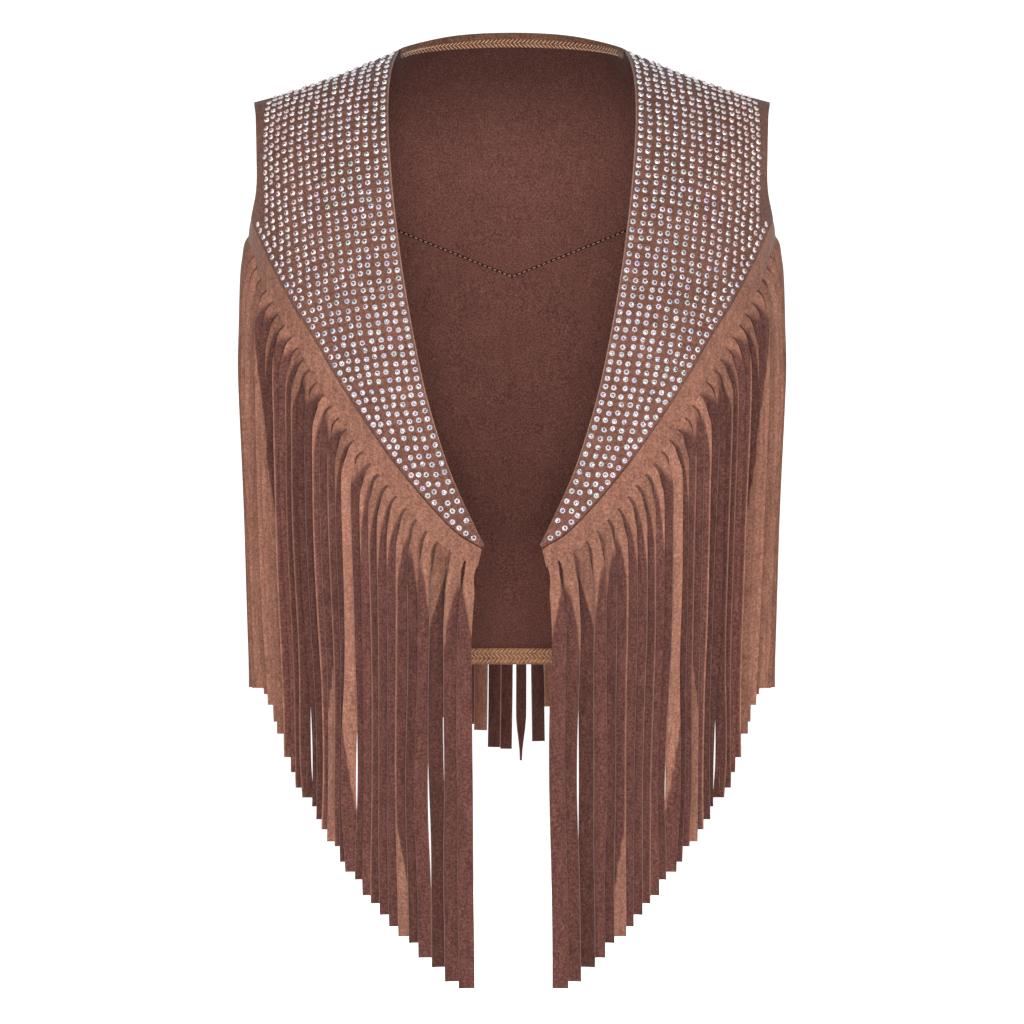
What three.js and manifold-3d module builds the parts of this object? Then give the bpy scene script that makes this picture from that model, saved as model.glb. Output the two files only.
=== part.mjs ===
// A sleeveless open-front western vest in faux suede, hollow as when worn: two front yokes, two lower
// fronts, a one-piece back, turned-in neck and hem edges, and fringe trim along each yoke seam.
// Millimetres, +Z up, the wearer faces -Y and the wearer's left is +X.
// The origin lies midway between the shoulder seams, level with their middles.
import * as THREE from "three";
import { mergeVertices } from "three/addons/utils/BufferGeometryUtils.js";
import Module from "manifold-3d";

const wasm = await Module();
wasm.setup();

// Cloth
const CLOTH = 1.4; // wall thickness of a panel
const SEAM_GAP = 0.3; // clearance between neighbouring pieces
const TRIM_LEVEL = CLOTH + 1.5 * SEAM_GAP; // inner face of what lies on a curved panel

// Body form
const GIRTH_STEPS = 240; // fineness of the tables that turn a share of the girth into an angle
const SEARCH_STEPS = 40; // halvings when a girth place is looked up from its width
const PROBE = { girth: 0.004, height: 0.6 }; // steps that measure the form's slope
const HEM_Z = -413.5;
const SECTION_POWER = 3.1; // squareness of the horizontal section
const SHOULDER = { neckX: 80, neckZ: 17, tipX: 180, tipZ: -19, sag: 2.6 };
const SHOULDER_SLOPE = (SHOULDER.neckZ - SHOULDER.tipZ) / (SHOULDER.tipX - SHOULDER.neckX);
const FRONT_ROUNDING = 190; // drop over which the front rounds down from the shoulder
const BACK_ROUNDING = 150;
// Back neckline: how far behind and above the neck points it lies, the arch of the form under it and
// the length over which its stand fades into the back
const NECK = { depth: 46, rise: 16, arch: 20, fade: 18, steepness: 3, roundness: 0.72 };
const REFERENCE = { halfWidth: 184, front: 98, back: 90 };

// Horizontal sections, from the top down
const SECTIONS = [
  { z: 40, halfWidth: 183, front: 96, back: 84 },
  { z: -110, halfWidth: 182, front: 98, back: 91 },
  { z: -215, halfWidth: 182, front: 99, back: 92 },
  { z: -330, halfWidth: 178, front: 98, back: 87 },
  { z: -420, halfWidth: 174, front: 97, back: 86 },
];

// Edge of each front from the shoulder neck point to the yoke's tip
const FRONT_EDGE = [
  { x: 79, z: 17.3 },
  { x: 83, z: 5 },
  { x: 85, z: -12 },
  { x: 85, z: -40 },
  { x: 82, z: -80 },
  { x: 78.5, z: -111 },
  { x: 74, z: -144 },
  { x: 67.8, z: -180 },
  { x: 58.9, z: -222.6 },
  { x: 47.6, z: -261.5 },
  { x: 38.8, z: -285.4 },
  { x: 25.8, z: -313.4 },
  { x: 19, z: -327 },
];

// Armhole edge of a yoke, from the shoulder tip to the yoke seam
const ARMHOLE_EDGE = [
  { x: 180, z: -19 },
  { x: 178, z: -28 },
  { x: 176.4, z: -60 },
  { x: 176, z: -84 },
  { x: 178.2, z: -101.7 },
];

// Yoke seam, from the armhole to the yoke's tip
const YOKE_SEAM = [
  { x: 178.2, z: -101.7 },
  { x: 175.2, z: -108.4 },
  { x: 165, z: -131.7 },
  { x: 155.2, z: -150.6 },
  { x: 145, z: -168 },
  { x: 132.8, z: -187.3 },
  { x: 122.4, z: -205.9 },
  { x: 108.8, z: -227.9 },
  { x: 94.9, z: -248.9 },
  { x: 82.3, z: -266.9 },
  { x: 65.5, z: -288.1 },
  { x: 51.1, z: -304.5 },
  { x: 36.7, z: -318.8 },
  { x: 20.5, z: -328.8 },
];

// Armhole below the seams, and the back's own armhole edge
const UNDERARM_Z = -208;
const BACK_ARMHOLE = [
  { x: 180, z: -19 },
  { x: 176.5, z: -40 },
  { x: 176, z: -90 },
  { x: 178, z: -125 },
];
const ARMHOLE_CURVE = 2.2; // how quickly the armhole runs down before it turns to the side seam
const NEAR_SIDE_SEAM = { front: 0.98, back: 1.02 }; // girth places where the side seam's gap is measured

// Panel grids: shares of the armhole edge where the yoke has a row, and steps across and down the fronts
const YOKE_UPPER_ROWS = [0, 0.02, 0.08, 0.2, 0.4, 0.7, 1];
const YOKE_COLUMNS = 8;
const YOKE_LAP = 40; // over this length the yoke rises from the form onto the trim's level
const LOWER_ROWS = 7;
const UNDERARM_COLUMNS = 5;

// Lower front: its free edge runs back from the yoke's tip and stays behind the fringe
const SEAM_DROP = 0.8; // how far its upper edge lies below the yoke seam
const LOWER_EDGE = [
  { x: 37, z: -319 },
  { x: 39, z: -350 },
  { x: 43, z: -380 },
  { x: 46, z: -414 },
];

// Fringe trim
const TRIM = { header: 14, thickness: 1.2, inset: 1 };
const STRIP_WIDTH = { front: 8.1, back: 7.6 };
const HANG = { standOff: 6, settle: 12, bend: 8, tilt: THREE.MathUtils.degToRad(30), tiltOver: 7 };
const ROOT = { depth: 2, share: 0.7 }; // a strip's root in the header, and its size there
const RING_STATIONS = [-ROOT.depth, 2, 6, 12, 28, 110]; // along a strip, before its end
const FRONT_STRIPS = 30;
const FRONT_SPLAY = { least: 0.3, fullFrom: 75 }; // share of it at the yoke's tip, and where it is full
const SEAM_STEPS = FRONT_STRIPS / 2; // the panels' points along the yoke seam lie at every second strip
const BACK_STRIPS_A_SIDE = 21;
// Line of the back trim: its lowest point, its slope, how far it ends from the shoulder tips' width, and
// the place past which its strips are cut square to it
const BACK_V = { centreZ: -136, rise: 0.4, margin: 5, splayFrom: 50 };

// Lower ends of the front strips, from the side to the front
const FRONT_ENDS = [
  { x: 190, z: -425 },
  { x: 172, z: -439 },
  { x: 155, z: -486 },
  { x: 118, z: -543 },
  { x: 66, z: -605 },
  { x: 24, z: -637 },
];
// Lower ends of the back strips, from the centre to the side
const BACK_ENDS = [
  { x: 0, z: -478 },
  { x: 40, z: -466 },
  { x: 176, z: -405 },
  { x: 200, z: -396 },
];
const SIDE_DRIFT = 8; // how far a side strip leans back towards the front by its end
const DRIFT_GROWTH = 1.5; // power of a strip's length by which its lean grows
// How far the back strips on the wearer's left swing outwards by their ends
const BACK_DRIFT = [
  { x: 4, drift: 2 },
  { x: 12, drift: 6 },
  { x: 80, drift: 0 },
];
const END_STAGGER = 3; // strips are cut unevenly by this much

// Turned-in edges on the inside of the back: their height as a share of the back's length
const TURN_IN = { share: 0.026, thickness: 1 };

const COLOURS = { suede: 0x8f6552, reverse: 0x68433c, thread: 0x916852 };

/** Cubic Hermite value of column `name` in `rows` at `at` along column `by`. */
function follow(rows, by, name, at) {
  const rising = rows[rows.length - 1][by] > rows[0][by];
  const ordered = rising ? rows : [...rows].reverse();
  const last = ordered.length - 1;
  const x = THREE.MathUtils.clamp(at, ordered[0][by], ordered[last][by]);
  let i = 0;
  while (i < last - 1 && x > ordered[i + 1][by]) i++;
  const slope = (k) => {
    const a = ordered[Math.max(0, k - 1)];
    const b = ordered[Math.min(last, k + 1)];
    return (b[name] - a[name]) / (b[by] - a[by]);
  };
  const [p, n] = [ordered[i], ordered[i + 1]];
  const run = n[by] - p[by];
  const t = (x - p[by]) / run;
  const [t2, t3] = [t * t, t * t * t];
  return (
    p[name] * (2 * t3 - 3 * t2 + 1) +
    slope(i) * run * (t3 - 2 * t2 + t) +
    n[name] * (3 * t2 - 2 * t3) +
    slope(i + 1) * run * (t3 - t2)
  );
}

/** Point at share `t` of the length of a polyline of {x, z} rows. */
function alongEdge(rows, t) {
  const lengths = [0];
  for (let i = 1; i < rows.length; i++) {
    lengths.push(lengths[i - 1] + Math.hypot(rows[i].x - rows[i - 1].x, rows[i].z - rows[i - 1].z));
  }
  const wanted = t * lengths[rows.length - 1];
  let i = 1;
  while (i < rows.length - 1 && lengths[i] < wanted) i++;
  const part = (wanted - lengths[i - 1]) / (lengths[i] - lengths[i - 1]);
  return {
    x: THREE.MathUtils.lerp(rows[i - 1].x, rows[i].x, part),
    z: THREE.MathUtils.lerp(rows[i - 1].z, rows[i].z, part),
  };
}

/** Radius of the superelliptic section at an angle from its centre line. */
function sectionRadius(angle, halfWidth, depth) {
  const n = SECTION_POWER;
  const s = Math.pow(Math.abs(Math.sin(angle)) / halfWidth, n);
  const c = Math.pow(Math.abs(Math.cos(angle)) / depth, n);
  return Math.pow(s + c, -1 / n);
}

/** Table of angle against share of the quarter girth, from the centre line to the side. */
function girthTable(depth) {
  const points = [];
  for (let i = 0; i <= GIRTH_STEPS; i++) {
    const angle = ((Math.PI / 2) * i) / GIRTH_STEPS;
    const r = sectionRadius(angle, REFERENCE.halfWidth, depth);
    points.push({ angle, x: r * Math.sin(angle), y: r * Math.cos(angle), share: 0 });
  }
  for (let i = 1; i <= GIRTH_STEPS; i++) {
    const [a, b] = [points[i - 1], points[i]];
    b.share = a.share + Math.hypot(b.x - a.x, b.y - a.y);
  }
  const whole = points[GIRTH_STEPS].share;
  points.forEach((p) => (p.share /= whole));
  return points;
}

const FRONT_GIRTH = girthTable(REFERENCE.front);
const BACK_GIRTH = girthTable(REFERENCE.back);

/** Angle from the centre line at a share of the quarter girth. */
function angleAt(table, share) {
  let [low, high] = [0, table.length - 1];
  while (high - low > 1) {
    const middle = (low + high) >> 1;
    if (table[middle].share < share) low = middle;
    else high = middle;
  }
  const [a, b] = [table[low], table[high]];
  return THREE.MathUtils.lerp(a.angle, b.angle, (share - a.share) / (b.share - a.share));
}

/** Height of the form's top at x: the shoulder seam, and a low arch between the neck points. */
function ridge(x) {
  const across = Math.abs(x) / SHOULDER.neckX;
  if (across < 1) return SHOULDER.neckZ + NECK.arch * (1 - across * across);
  const out = Math.abs(x) - SHOULDER.neckX;
  const along = THREE.MathUtils.clamp(out / (SHOULDER.tipX - SHOULDER.neckX), 0, 1);
  return SHOULDER.neckZ - SHOULDER_SLOPE * out - SHOULDER.sag * 4 * along * (1 - along);
}

/** Top edge of the back at x: the shoulder seam, or the neckline between the neck points. */
function backTop(x) {
  const across = Math.abs(x) / SHOULDER.neckX;
  if (across >= 1) return { y: 0, z: ridge(x) };
  return {
    y: NECK.depth * Math.sqrt(1 - across * across),
    z: SHOULDER.neckZ + NECK.rise * Math.pow(1 - across ** NECK.steepness, NECK.roundness),
  };
}

/** Rounding from the form's top down to its full depth, 0 at the top and 1 below. */
function rounding(drop, over) {
  const left = 1 - THREE.MathUtils.clamp(drop / over, 0, 1);
  return Math.sqrt(1 - left * left);
}

/**
 * Point of the body form. `girth` is 0 at the centre front, 1 or -1 at the side seams and 2 or -2 at
 * the centre back.
 */
function onForm(girth, z) {
  const front = Math.abs(girth) <= 1;
  const share = front ? Math.abs(girth) : Math.max(0, 2 - Math.abs(girth));
  const angle = angleAt(front ? FRONT_GIRTH : BACK_GIRTH, share);
  const halfWidth = follow(SECTIONS, "z", "halfWidth", z);
  const depth = follow(SECTIONS, "z", front ? "front" : "back", z);
  const r = sectionRadius(angle, halfWidth, depth);
  const x = Math.sign(girth) * r * Math.sin(angle);
  const full = r * Math.cos(angle);
  if (front) {
    return new THREE.Vector3(x, -full * rounding(ridge(x) - z, FRONT_ROUNDING), z);
  }
  const top = backTop(x);
  const atTop = full * rounding(ridge(x) - top.z, BACK_ROUNDING);
  const stand = (top.y - atTop) * Math.exp(-Math.max(0, top.z - z) / NECK.fade);
  return new THREE.Vector3(x, full * rounding(ridge(x) - z, BACK_ROUNDING) + stand, z);
}

/** Girth coordinate of the point at x, on the front or the back, at height z. */
function girthAt(x, z, front) {
  let [low, high] = [0, 1];
  for (let i = 0; i < SEARCH_STEPS; i++) {
    const middle = (low + high) / 2;
    const reached = onForm(front ? middle : 2 - middle, z).x;
    if (reached < Math.abs(x)) low = middle;
    else high = middle;
  }
  return Math.sign(x || 1) * (front ? low : 2 - low);
}

/** Local frame of the form: unit vectors along the girth and outwards, and the girth's scale. */
function frameAt(girth, z) {
  const across = onForm(girth + PROBE.girth, z).sub(onForm(girth - PROBE.girth, z));
  const scale = across.length() / (2 * PROBE.girth);
  const down = onForm(girth, z - PROBE.height).sub(onForm(girth, z));
  const along = across.normalize();
  const out = new THREE.Vector3().crossVectors(down, along).normalize();
  return { along, out, scale };
}

/** Point a given distance outside the form. */
function offForm(girth, z, offset) {
  return onForm(girth, z).addScaledVector(frameAt(girth, z).out, offset);
}

/** Closed wall between an inner and an outer grid of points, rows by columns. */
function wall(inner, outer) {
  const [rows, columns] = [inner.length, inner[0].length];
  const positions = [];
  [...inner, ...outer].forEach((row) => row.forEach((p) => positions.push(p.x, p.y, p.z)));
  const at = (layer, r, c) => (layer * rows + r) * columns + c;
  const indices = [];
  const quad = (a, b, c, d) => indices.push(a, b, c, a, c, d);
  for (let r = 0; r < rows - 1; r++) {
    for (let c = 0; c < columns - 1; c++) {
      quad(at(1, r, c), at(1, r + 1, c), at(1, r + 1, c + 1), at(1, r, c + 1));
      quad(at(0, r, c), at(0, r, c + 1), at(0, r + 1, c + 1), at(0, r + 1, c));
    }
  }
  for (let r = 0; r < rows - 1; r++) {
    quad(at(0, r, 0), at(0, r + 1, 0), at(1, r + 1, 0), at(1, r, 0));
    quad(at(1, r, columns - 1), at(1, r + 1, columns - 1), at(0, r + 1, columns - 1), at(0, r, columns - 1));
  }
  for (let c = 0; c < columns - 1; c++) {
    quad(at(0, 0, c), at(1, 0, c), at(1, 0, c + 1), at(0, 0, c + 1));
    quad(at(1, rows - 1, c), at(0, rows - 1, c), at(0, rows - 1, c + 1), at(1, rows - 1, c + 1));
  }
  return solidFrom(positions, indices);
}

/** Manifold solid of a closed triangle mesh, turned to face outwards. */
function solidFrom(positions, indices) {
  const geometry = new THREE.BufferGeometry();
  geometry.setAttribute("position", new THREE.Float32BufferAttribute(positions, 3));
  geometry.setIndex(indices);
  const merged = mergeVertices(geometry, 1e-4);
  const faces = merged.index.array;
  const [a, b, c] = [new THREE.Vector3(), new THREE.Vector3(), new THREE.Vector3()];
  const place = merged.getAttribute("position");
  let volume = 0;
  for (let i = 0; i < faces.length; i += 3) {
    a.fromBufferAttribute(place, faces[i]);
    b.fromBufferAttribute(place, faces[i + 1]);
    c.fromBufferAttribute(place, faces[i + 2]);
    volume += a.dot(b.cross(c));
  }
  const triVerts = new Uint32Array(faces);
  if (volume < 0) {
    for (let i = 0; i < triVerts.length; i += 3) {
      [triVerts[i + 1], triVerts[i + 2]] = [triVerts[i + 2], triVerts[i + 1]];
    }
  }
  return new wasm.Manifold(
    new wasm.Mesh({ numProp: 3, vertProperties: new Float32Array(place.array), triVerts }),
  );
}

/** Named mesh of a solid in a plain cloth colour. */
function meshOf(name, solid, colour) {
  const made = solid.getMesh();
  const geometry = new THREE.BufferGeometry();
  geometry.setAttribute("position", new THREE.BufferAttribute(made.vertProperties, 3));
  geometry.setIndex(new THREE.BufferAttribute(made.triVerts, 1));
  const material = new THREE.MeshStandardMaterial({ color: colour, roughness: 0.95, metalness: 0 });
  const mesh = new THREE.Mesh(geometry, material);
  mesh.name = name;
  return mesh;
}

/** Shares from 0 to 1 in even steps. */
function shares(steps) {
  return Array.from({ length: steps + 1 }, (_, i) => i / steps);
}

/** Front yoke: rows run from the free front edge to the armhole and then to the yoke seam. */
function frontYoke(side) {
  const outline = [...ARMHOLE_EDGE, ...YOKE_SEAM.slice(1)];
  const cornerShare = edgeLength(ARMHOLE_EDGE) / edgeLength(outline);
  const upper = YOKE_UPPER_ROWS.map((t) => t * cornerShare);
  const lower = shares(SEAM_STEPS).slice(1).map((t) => cornerShare + t * (1 - cornerShare));
  const grids = [0, CLOTH].map((offset) =>
    [...upper, ...lower].map((t) => {
      const edge = alongEdge(FRONT_EDGE, t);
      const seam = alongEdge(outline, t);
      return shares(YOKE_COLUMNS).map((c) => {
        const x = THREE.MathUtils.lerp(edge.x, seam.x, c);
        const z = THREE.MathUtils.lerp(edge.z, seam.z, c);
        const toSeam = Math.max(0, z - seamHeight(x));
        const rise = THREE.MathUtils.smoothstep(YOKE_LAP - toSeam, 0, YOKE_LAP) * TRIM_LEVEL;
        const p = offForm(side * girthAt(x, z, true), z, offset + rise);
        p.y = Math.min(p.y, -SEAM_GAP / 2);
        return p;
      });
    }),
  );
  return wall(grids[0], grids[1]);
}

/** Length of a polyline of {x, z} rows. */
function edgeLength(rows) {
  return rows.slice(1).reduce((sum, p, i) => sum + Math.hypot(p.x - rows[i].x, p.z - rows[i].z), 0);
}

/** Height of the yoke seam at x. */
function seamHeight(x) {
  return follow(YOKE_SEAM, "x", "z", Math.abs(x));
}

/** Lower front, from the yoke seam and the armhole down to the hem. */
function lowerFront(side) {
  const seam = shares(SEAM_STEPS).slice(1).map((t) => alongEdge(YOKE_SEAM, 1 - t));
  const corner = girthAt(YOKE_SEAM[0].x, YOKE_SEAM[0].z, true);
  const sideSeam = 1 - SEAM_GAP / 2 / frameAt(NEAR_SIDE_SEAM.front, UNDERARM_Z).scale;
  const underSeam = seam.map((p) => ({ girth: girthAt(p.x, p.z, true), z: p.z - SEAM_DROP }));
  const underArm = shares(UNDERARM_COLUMNS).slice(1).map((t) => ({
    girth: THREE.MathUtils.lerp(corner, sideSeam, t),
    z: THREE.MathUtils.lerp(UNDERARM_Z, YOKE_SEAM[0].z, Math.pow(1 - t, ARMHOLE_CURVE)),
  }));
  const top = [...underSeam, ...underArm];
  const grids = [0, CLOTH].map((offset) =>
    shares(LOWER_ROWS).map((v) =>
      top.map((place, c) => {
        const z = THREE.MathUtils.lerp(place.z, HEM_Z, v);
        const edge = girthAt(follow(LOWER_EDGE, "z", "x", z), z, true);
        const even = edge + (c / (top.length - 1)) * (sideSeam - edge);
        const girth = THREE.MathUtils.lerp(place.girth, even, THREE.MathUtils.smoothstep(v, 0, 1));
        return offForm(side * girth, z, offset);
      }),
    ),
  );
  return wall(grids[0], grids[1]);
}

/** Outer girth coordinate of the back at height z: its armhole edge, then the side seam. */
function backEdge(z) {
  const turn = BACK_ARMHOLE[BACK_ARMHOLE.length - 1];
  const sideSeam = 1 + SEAM_GAP / 2 / frameAt(NEAR_SIDE_SEAM.back, UNDERARM_Z).scale;
  if (z <= UNDERARM_Z) return sideSeam;
  if (z >= turn.z) return girthAt(follow(BACK_ARMHOLE, "z", "x", z), z, false);
  const start = girthAt(turn.x, turn.z, false);
  const past = (turn.z - z) / (turn.z - UNDERARM_Z);
  return THREE.MathUtils.lerp(start, sideSeam, 1 - Math.sqrt(1 - past ** ARMHOLE_CURVE));
}

/** Places on the back as a function of a column share, 0 at the centre and 1 at the edge, and a row share. */
function backPlace(column, row) {
  const topX = column * SHOULDER.tipX;
  const top = backTop(topX);
  const z = THREE.MathUtils.lerp(top.z, HEM_Z, row);
  const edgeZ = THREE.MathUtils.lerp(SHOULDER.tipZ, HEM_Z, row);
  const topEdge = 2 - girthAt(SHOULDER.tipX, SHOULDER.tipZ, false);
  const across = (2 - girthAt(topX, top.z, false)) / topEdge;
  return { girth: 2 - across * (2 - backEdge(edgeZ)), z };
}

const BACK_ROWS = [
  ...[0, 0.004, 0.012, TURN_IN.share, 0.05, 0.09, 0.15, 0.24, 0.33, 0.4, 0.45],
  (SHOULDER.tipZ - UNDERARM_Z) / (SHOULDER.tipZ - HEM_Z),
  ...[0.6, 0.8, 1 - TURN_IN.share, 1],
];
const BACK_COLUMNS = [0, 0.12, 0.24, 0.34, 0.4, 0.435, 0.5, 0.62, 0.74, 0.84, 0.93, 1];

/** Signed columns of the back, from the wearer's right edge to the left edge. */
function backColumns() {
  const positive = BACK_COLUMNS.slice(1);
  return [...positive.map((c) => -c).reverse(), 0, ...positive];
}

/** Grid of points at an offset from the back, on the given rows and signed columns. */
function backGrid(rows, columns, offset) {
  return rows.map((row) =>
    columns.map((column) => {
      const place = backPlace(Math.abs(column), row);
      const p = offForm(Math.sign(column || 1) * place.girth, place.z, offset);
      p.y = Math.max(p.y, SEAM_GAP / 2);
      return p;
    }),
  );
}

/** Back, in one piece from the shoulder seams and the neckline to the hem. */
function back() {
  return wall(backGrid(BACK_ROWS, backColumns(), 0), backGrid(BACK_ROWS, backColumns(), CLOTH));
}

/** Edge of the back turned over to the inside, on the given rows and columns. */
function turnedEdge(rows, columns) {
  const outer = -SEAM_GAP;
  return wall(backGrid(rows, columns, outer - TURN_IN.thickness), backGrid(rows, columns, outer));
}

/** Hem edge of the back, turned up on the inside. */
function hemTurnUp() {
  return turnedEdge(BACK_ROWS.filter((row) => row >= 1 - TURN_IN.share), backColumns());
}

/** Neck edge of the back, turned in and down on the inside. */
function neckTurnIn() {
  const reach = (SHOULDER.neckX - 1) / SHOULDER.tipX;
  const columns = backColumns().filter((column) => Math.abs(column) < reach);
  return turnedEdge(BACK_ROWS.filter((row) => row <= TURN_IN.share), columns);
}

/** Repeatable value from -1 to 1 for strip `i`. */
function stagger(i) {
  const wave = Math.sin(i * 12.9898 + 4.1) * 43758.5453;
  return 2 * (wave - Math.floor(wave)) - 1;
}

/** One fringe strip, from inside the header's edge to its cut end. */
function strip(root, endZ, drift) {
  const { girth, z, across, down } = root;
  const { scale } = frameAt(girth, z);
  const length = z - endZ;
  const rings = [...RING_STATIONS, length].map((s) => {
    const bent = s < 0 ? s : HANG.bend * (1 - Math.exp(-s / HANG.bend));
    const lean = drift * Math.max(0, s / length) ** DRIFT_GROWTH;
    const g = girth + (across * bent + lean) / scale;
    const height = z + down * bent - (Math.max(0, s) - Math.max(0, bent));
    const settled = 1 - Math.exp(-Math.max(0, s) / HANG.settle);
    const offset = TRIM_LEVEL + TRIM.thickness / 2 + (HANG.standOff - TRIM_LEVEL) * settled;
    const local = frameAt(g, height);
    const fade = Math.exp(-Math.max(0, s) / HANG.bend);
    const run = new THREE.Vector3().copy(local.along).multiplyScalar(across * fade);
    const fall = new THREE.Vector3(0, 0, down * fade - (1 - fade));
    const course = run.add(fall).normalize();
    const flat = new THREE.Vector3().crossVectors(local.out, course).normalize();
    const tilt = HANG.tilt * (1 - Math.exp(-Math.max(0, s) / HANG.tiltOver)) * root.turn;
    const width = flat.applyAxisAngle(course, tilt);
    const thick = new THREE.Vector3().crossVectors(course, width).normalize();
    const centre = onForm(g, height).addScaledVector(local.out, offset);
    const size = s < 0 ? ROOT.share / 2 : 0.5;
    return [[-1, -1], [1, -1], [1, 1], [-1, 1]].map(([w, t]) =>
      centre
        .clone()
        .addScaledVector(width, w * size * root.width)
        .addScaledVector(thick, t * size * TRIM.thickness),
    );
  });
  const positions = rings.flat().flatMap((p) => [p.x, p.y, p.z]);
  const indices = [0, 2, 1, 0, 3, 2];
  for (let r = 0; r < rings.length - 1; r++) {
    for (let k = 0; k < 4; k++) {
      const [a, b] = [r * 4 + k, r * 4 + ((k + 1) % 4)];
      indices.push(a, b, b + 4, a, b + 4, a + 4);
    }
  }
  const e = (rings.length - 1) * 4;
  indices.push(e, e + 1, e + 2, e, e + 2, e + 3);
  return solidFrom(positions, indices);
}

/** Fringe trim along a seam line of {girth, z} places: a header strip and its hanging strips. */
function fringe(line, strips, { width, endAt, driftAt, splayAt, turn }) {
  const frames = line.map((place, i) => {
    const before = line[Math.max(0, i - 1)];
    const after = line[Math.min(strips, i + 1)];
    const { scale } = frameAt(place.girth, place.z);
    const run = (after.girth - before.girth) * scale;
    const fall = after.z - before.z;
    const length = Math.hypot(run, fall);
    const sign = run > 0 ? 1 : -1;
    const splay = (sign * fall) / length * splayAt(Math.abs(onForm(place.girth, place.z).x));
    return { ...place, scale, across: splay, down: -Math.sqrt(1 - splay * splay) };
  });
  const edgeAt = (f, distance) => ({
    girth: f.girth + (f.across * distance) / f.scale,
    z: f.z + f.down * distance,
  });
  const rowAt = (distance, offset) =>
    frames.map((f) => {
      const place = edgeAt(f, distance);
      return offForm(place.girth, place.z, offset);
    });
  const offsets = [TRIM_LEVEL, TRIM_LEVEL + TRIM.thickness];
  const distances = [TRIM.inset, TRIM.header / 2, TRIM.header];
  const [inner, outer] = offsets.map((offset) => distances.map((distance) => rowAt(distance, offset)));
  let solid = wall(inner, outer);
  for (let i = 0; i < strips; i++) {
    const [a, b] = [edgeAt(frames[i], TRIM.header), edgeAt(frames[i + 1], TRIM.header)];
    const root = {
      girth: (a.girth + b.girth) / 2,
      z: (a.z + b.z) / 2,
      across: (frames[i].across + frames[i + 1].across) / 2,
      down: (frames[i].down + frames[i + 1].down) / 2,
      width,
      turn,
    };
    const x = Math.abs(onForm(root.girth, root.z).x);
    solid = solid.add(strip(root, endAt(x) + stagger(i) * END_STAGGER, driftAt(x)));
  }
  return solid;
}

/** Fringe of one front, along its yoke seam from the armhole to the yoke's tip. */
function frontFringe(side) {
  const line = shares(FRONT_STRIPS).map((t) => {
    const p = alongEdge(YOKE_SEAM, t);
    return { girth: side * girthAt(p.x, p.z, true), z: p.z };
  });
  const endAt = (x) => follow(FRONT_ENDS, "x", "z", x + HANG.bend * 0.8);
  const driftAt = (x) => -side * SIDE_DRIFT * (x / SHOULDER.tipX) ** 2;
  const { least, fullFrom } = FRONT_SPLAY;
  const splayAt = (x) => least + (1 - least) * THREE.MathUtils.smoothstep(x, 0, fullFrom);
  return fringe(line, FRONT_STRIPS, { width: STRIP_WIDTH.front, endAt, driftAt, splayAt, turn: side });
}

/** Fringe of the back, along a V from armhole to armhole. */
function backFringe(side) {
  const reach = SHOULDER.tipX - BACK_V.margin;
  const line = shares(BACK_STRIPS_A_SIDE).map((t) => {
    const x = THREE.MathUtils.lerp(SEAM_GAP, reach, t);
    const z = BACK_V.centreZ + BACK_V.rise * x;
    return { girth: side * girthAt(x, z, false), z };
  });
  const endAt = (x) => follow(BACK_ENDS, "x", "z", x);
  const driftAt = (x) => (side > 0 ? -follow(BACK_DRIFT, "x", "drift", x) : 0);
  const splayAt = (x) => THREE.MathUtils.smoothstep(x, 0, BACK_V.splayFrom);
  return fringe(line, BACK_STRIPS_A_SIDE, { width: STRIP_WIDTH.back, endAt, driftAt, splayAt, turn: -side });
}

const vest = new THREE.Group();
vest.add(meshOf("back", back(), COLOURS.suede));
vest.add(meshOf("neck_turn_in", neckTurnIn(), COLOURS.thread));
vest.add(meshOf("hem_turn_up", hemTurnUp(), COLOURS.thread));
for (const [hand, side] of [["left", 1], ["right", -1]]) {
  vest.add(meshOf(`front_yoke_${hand}`, frontYoke(side), COLOURS.suede));
  vest.add(meshOf(`front_lower_${hand}`, lowerFront(side), COLOURS.suede));
  vest.add(meshOf(`front_fringe_${hand}`, frontFringe(side), COLOURS.reverse));
  vest.add(meshOf(`back_fringe_${hand}`, backFringe(side), COLOURS.reverse));
}

export default vest;
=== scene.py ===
"""Western vest in faux suede, open at the front and hollow as when worn.

Front yokes set with crystals, cut fringe along each yoke seam and along a V on the back, and
overlocked edges inside the neck and the hem. Every length in the tables is in millimetres. The
wearer faces -Y, the wearer's left is +X and +Z is up. Meshes are made in metres.
"""

from __future__ import annotations

import logging
import math
from collections.abc import Callable, Sequence
from dataclasses import dataclass, field
from enum import Enum, IntEnum

import bpy
import numpy as np
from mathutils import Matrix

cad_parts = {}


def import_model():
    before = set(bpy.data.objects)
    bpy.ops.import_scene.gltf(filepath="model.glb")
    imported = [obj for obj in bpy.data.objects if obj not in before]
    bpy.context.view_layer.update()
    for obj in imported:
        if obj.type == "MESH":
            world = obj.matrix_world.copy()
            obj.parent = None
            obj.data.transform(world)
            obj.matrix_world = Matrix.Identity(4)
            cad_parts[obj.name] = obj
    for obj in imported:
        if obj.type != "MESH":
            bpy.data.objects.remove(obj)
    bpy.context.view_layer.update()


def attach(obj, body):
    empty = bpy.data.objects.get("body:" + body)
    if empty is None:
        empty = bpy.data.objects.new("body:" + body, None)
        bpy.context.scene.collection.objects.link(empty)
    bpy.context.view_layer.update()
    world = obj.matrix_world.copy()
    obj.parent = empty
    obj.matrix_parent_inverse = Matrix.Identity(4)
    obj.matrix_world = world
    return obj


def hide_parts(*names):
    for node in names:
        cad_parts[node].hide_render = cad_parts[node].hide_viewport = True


MM = 0.001
LOG = logging.getLogger("vest")

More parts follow.
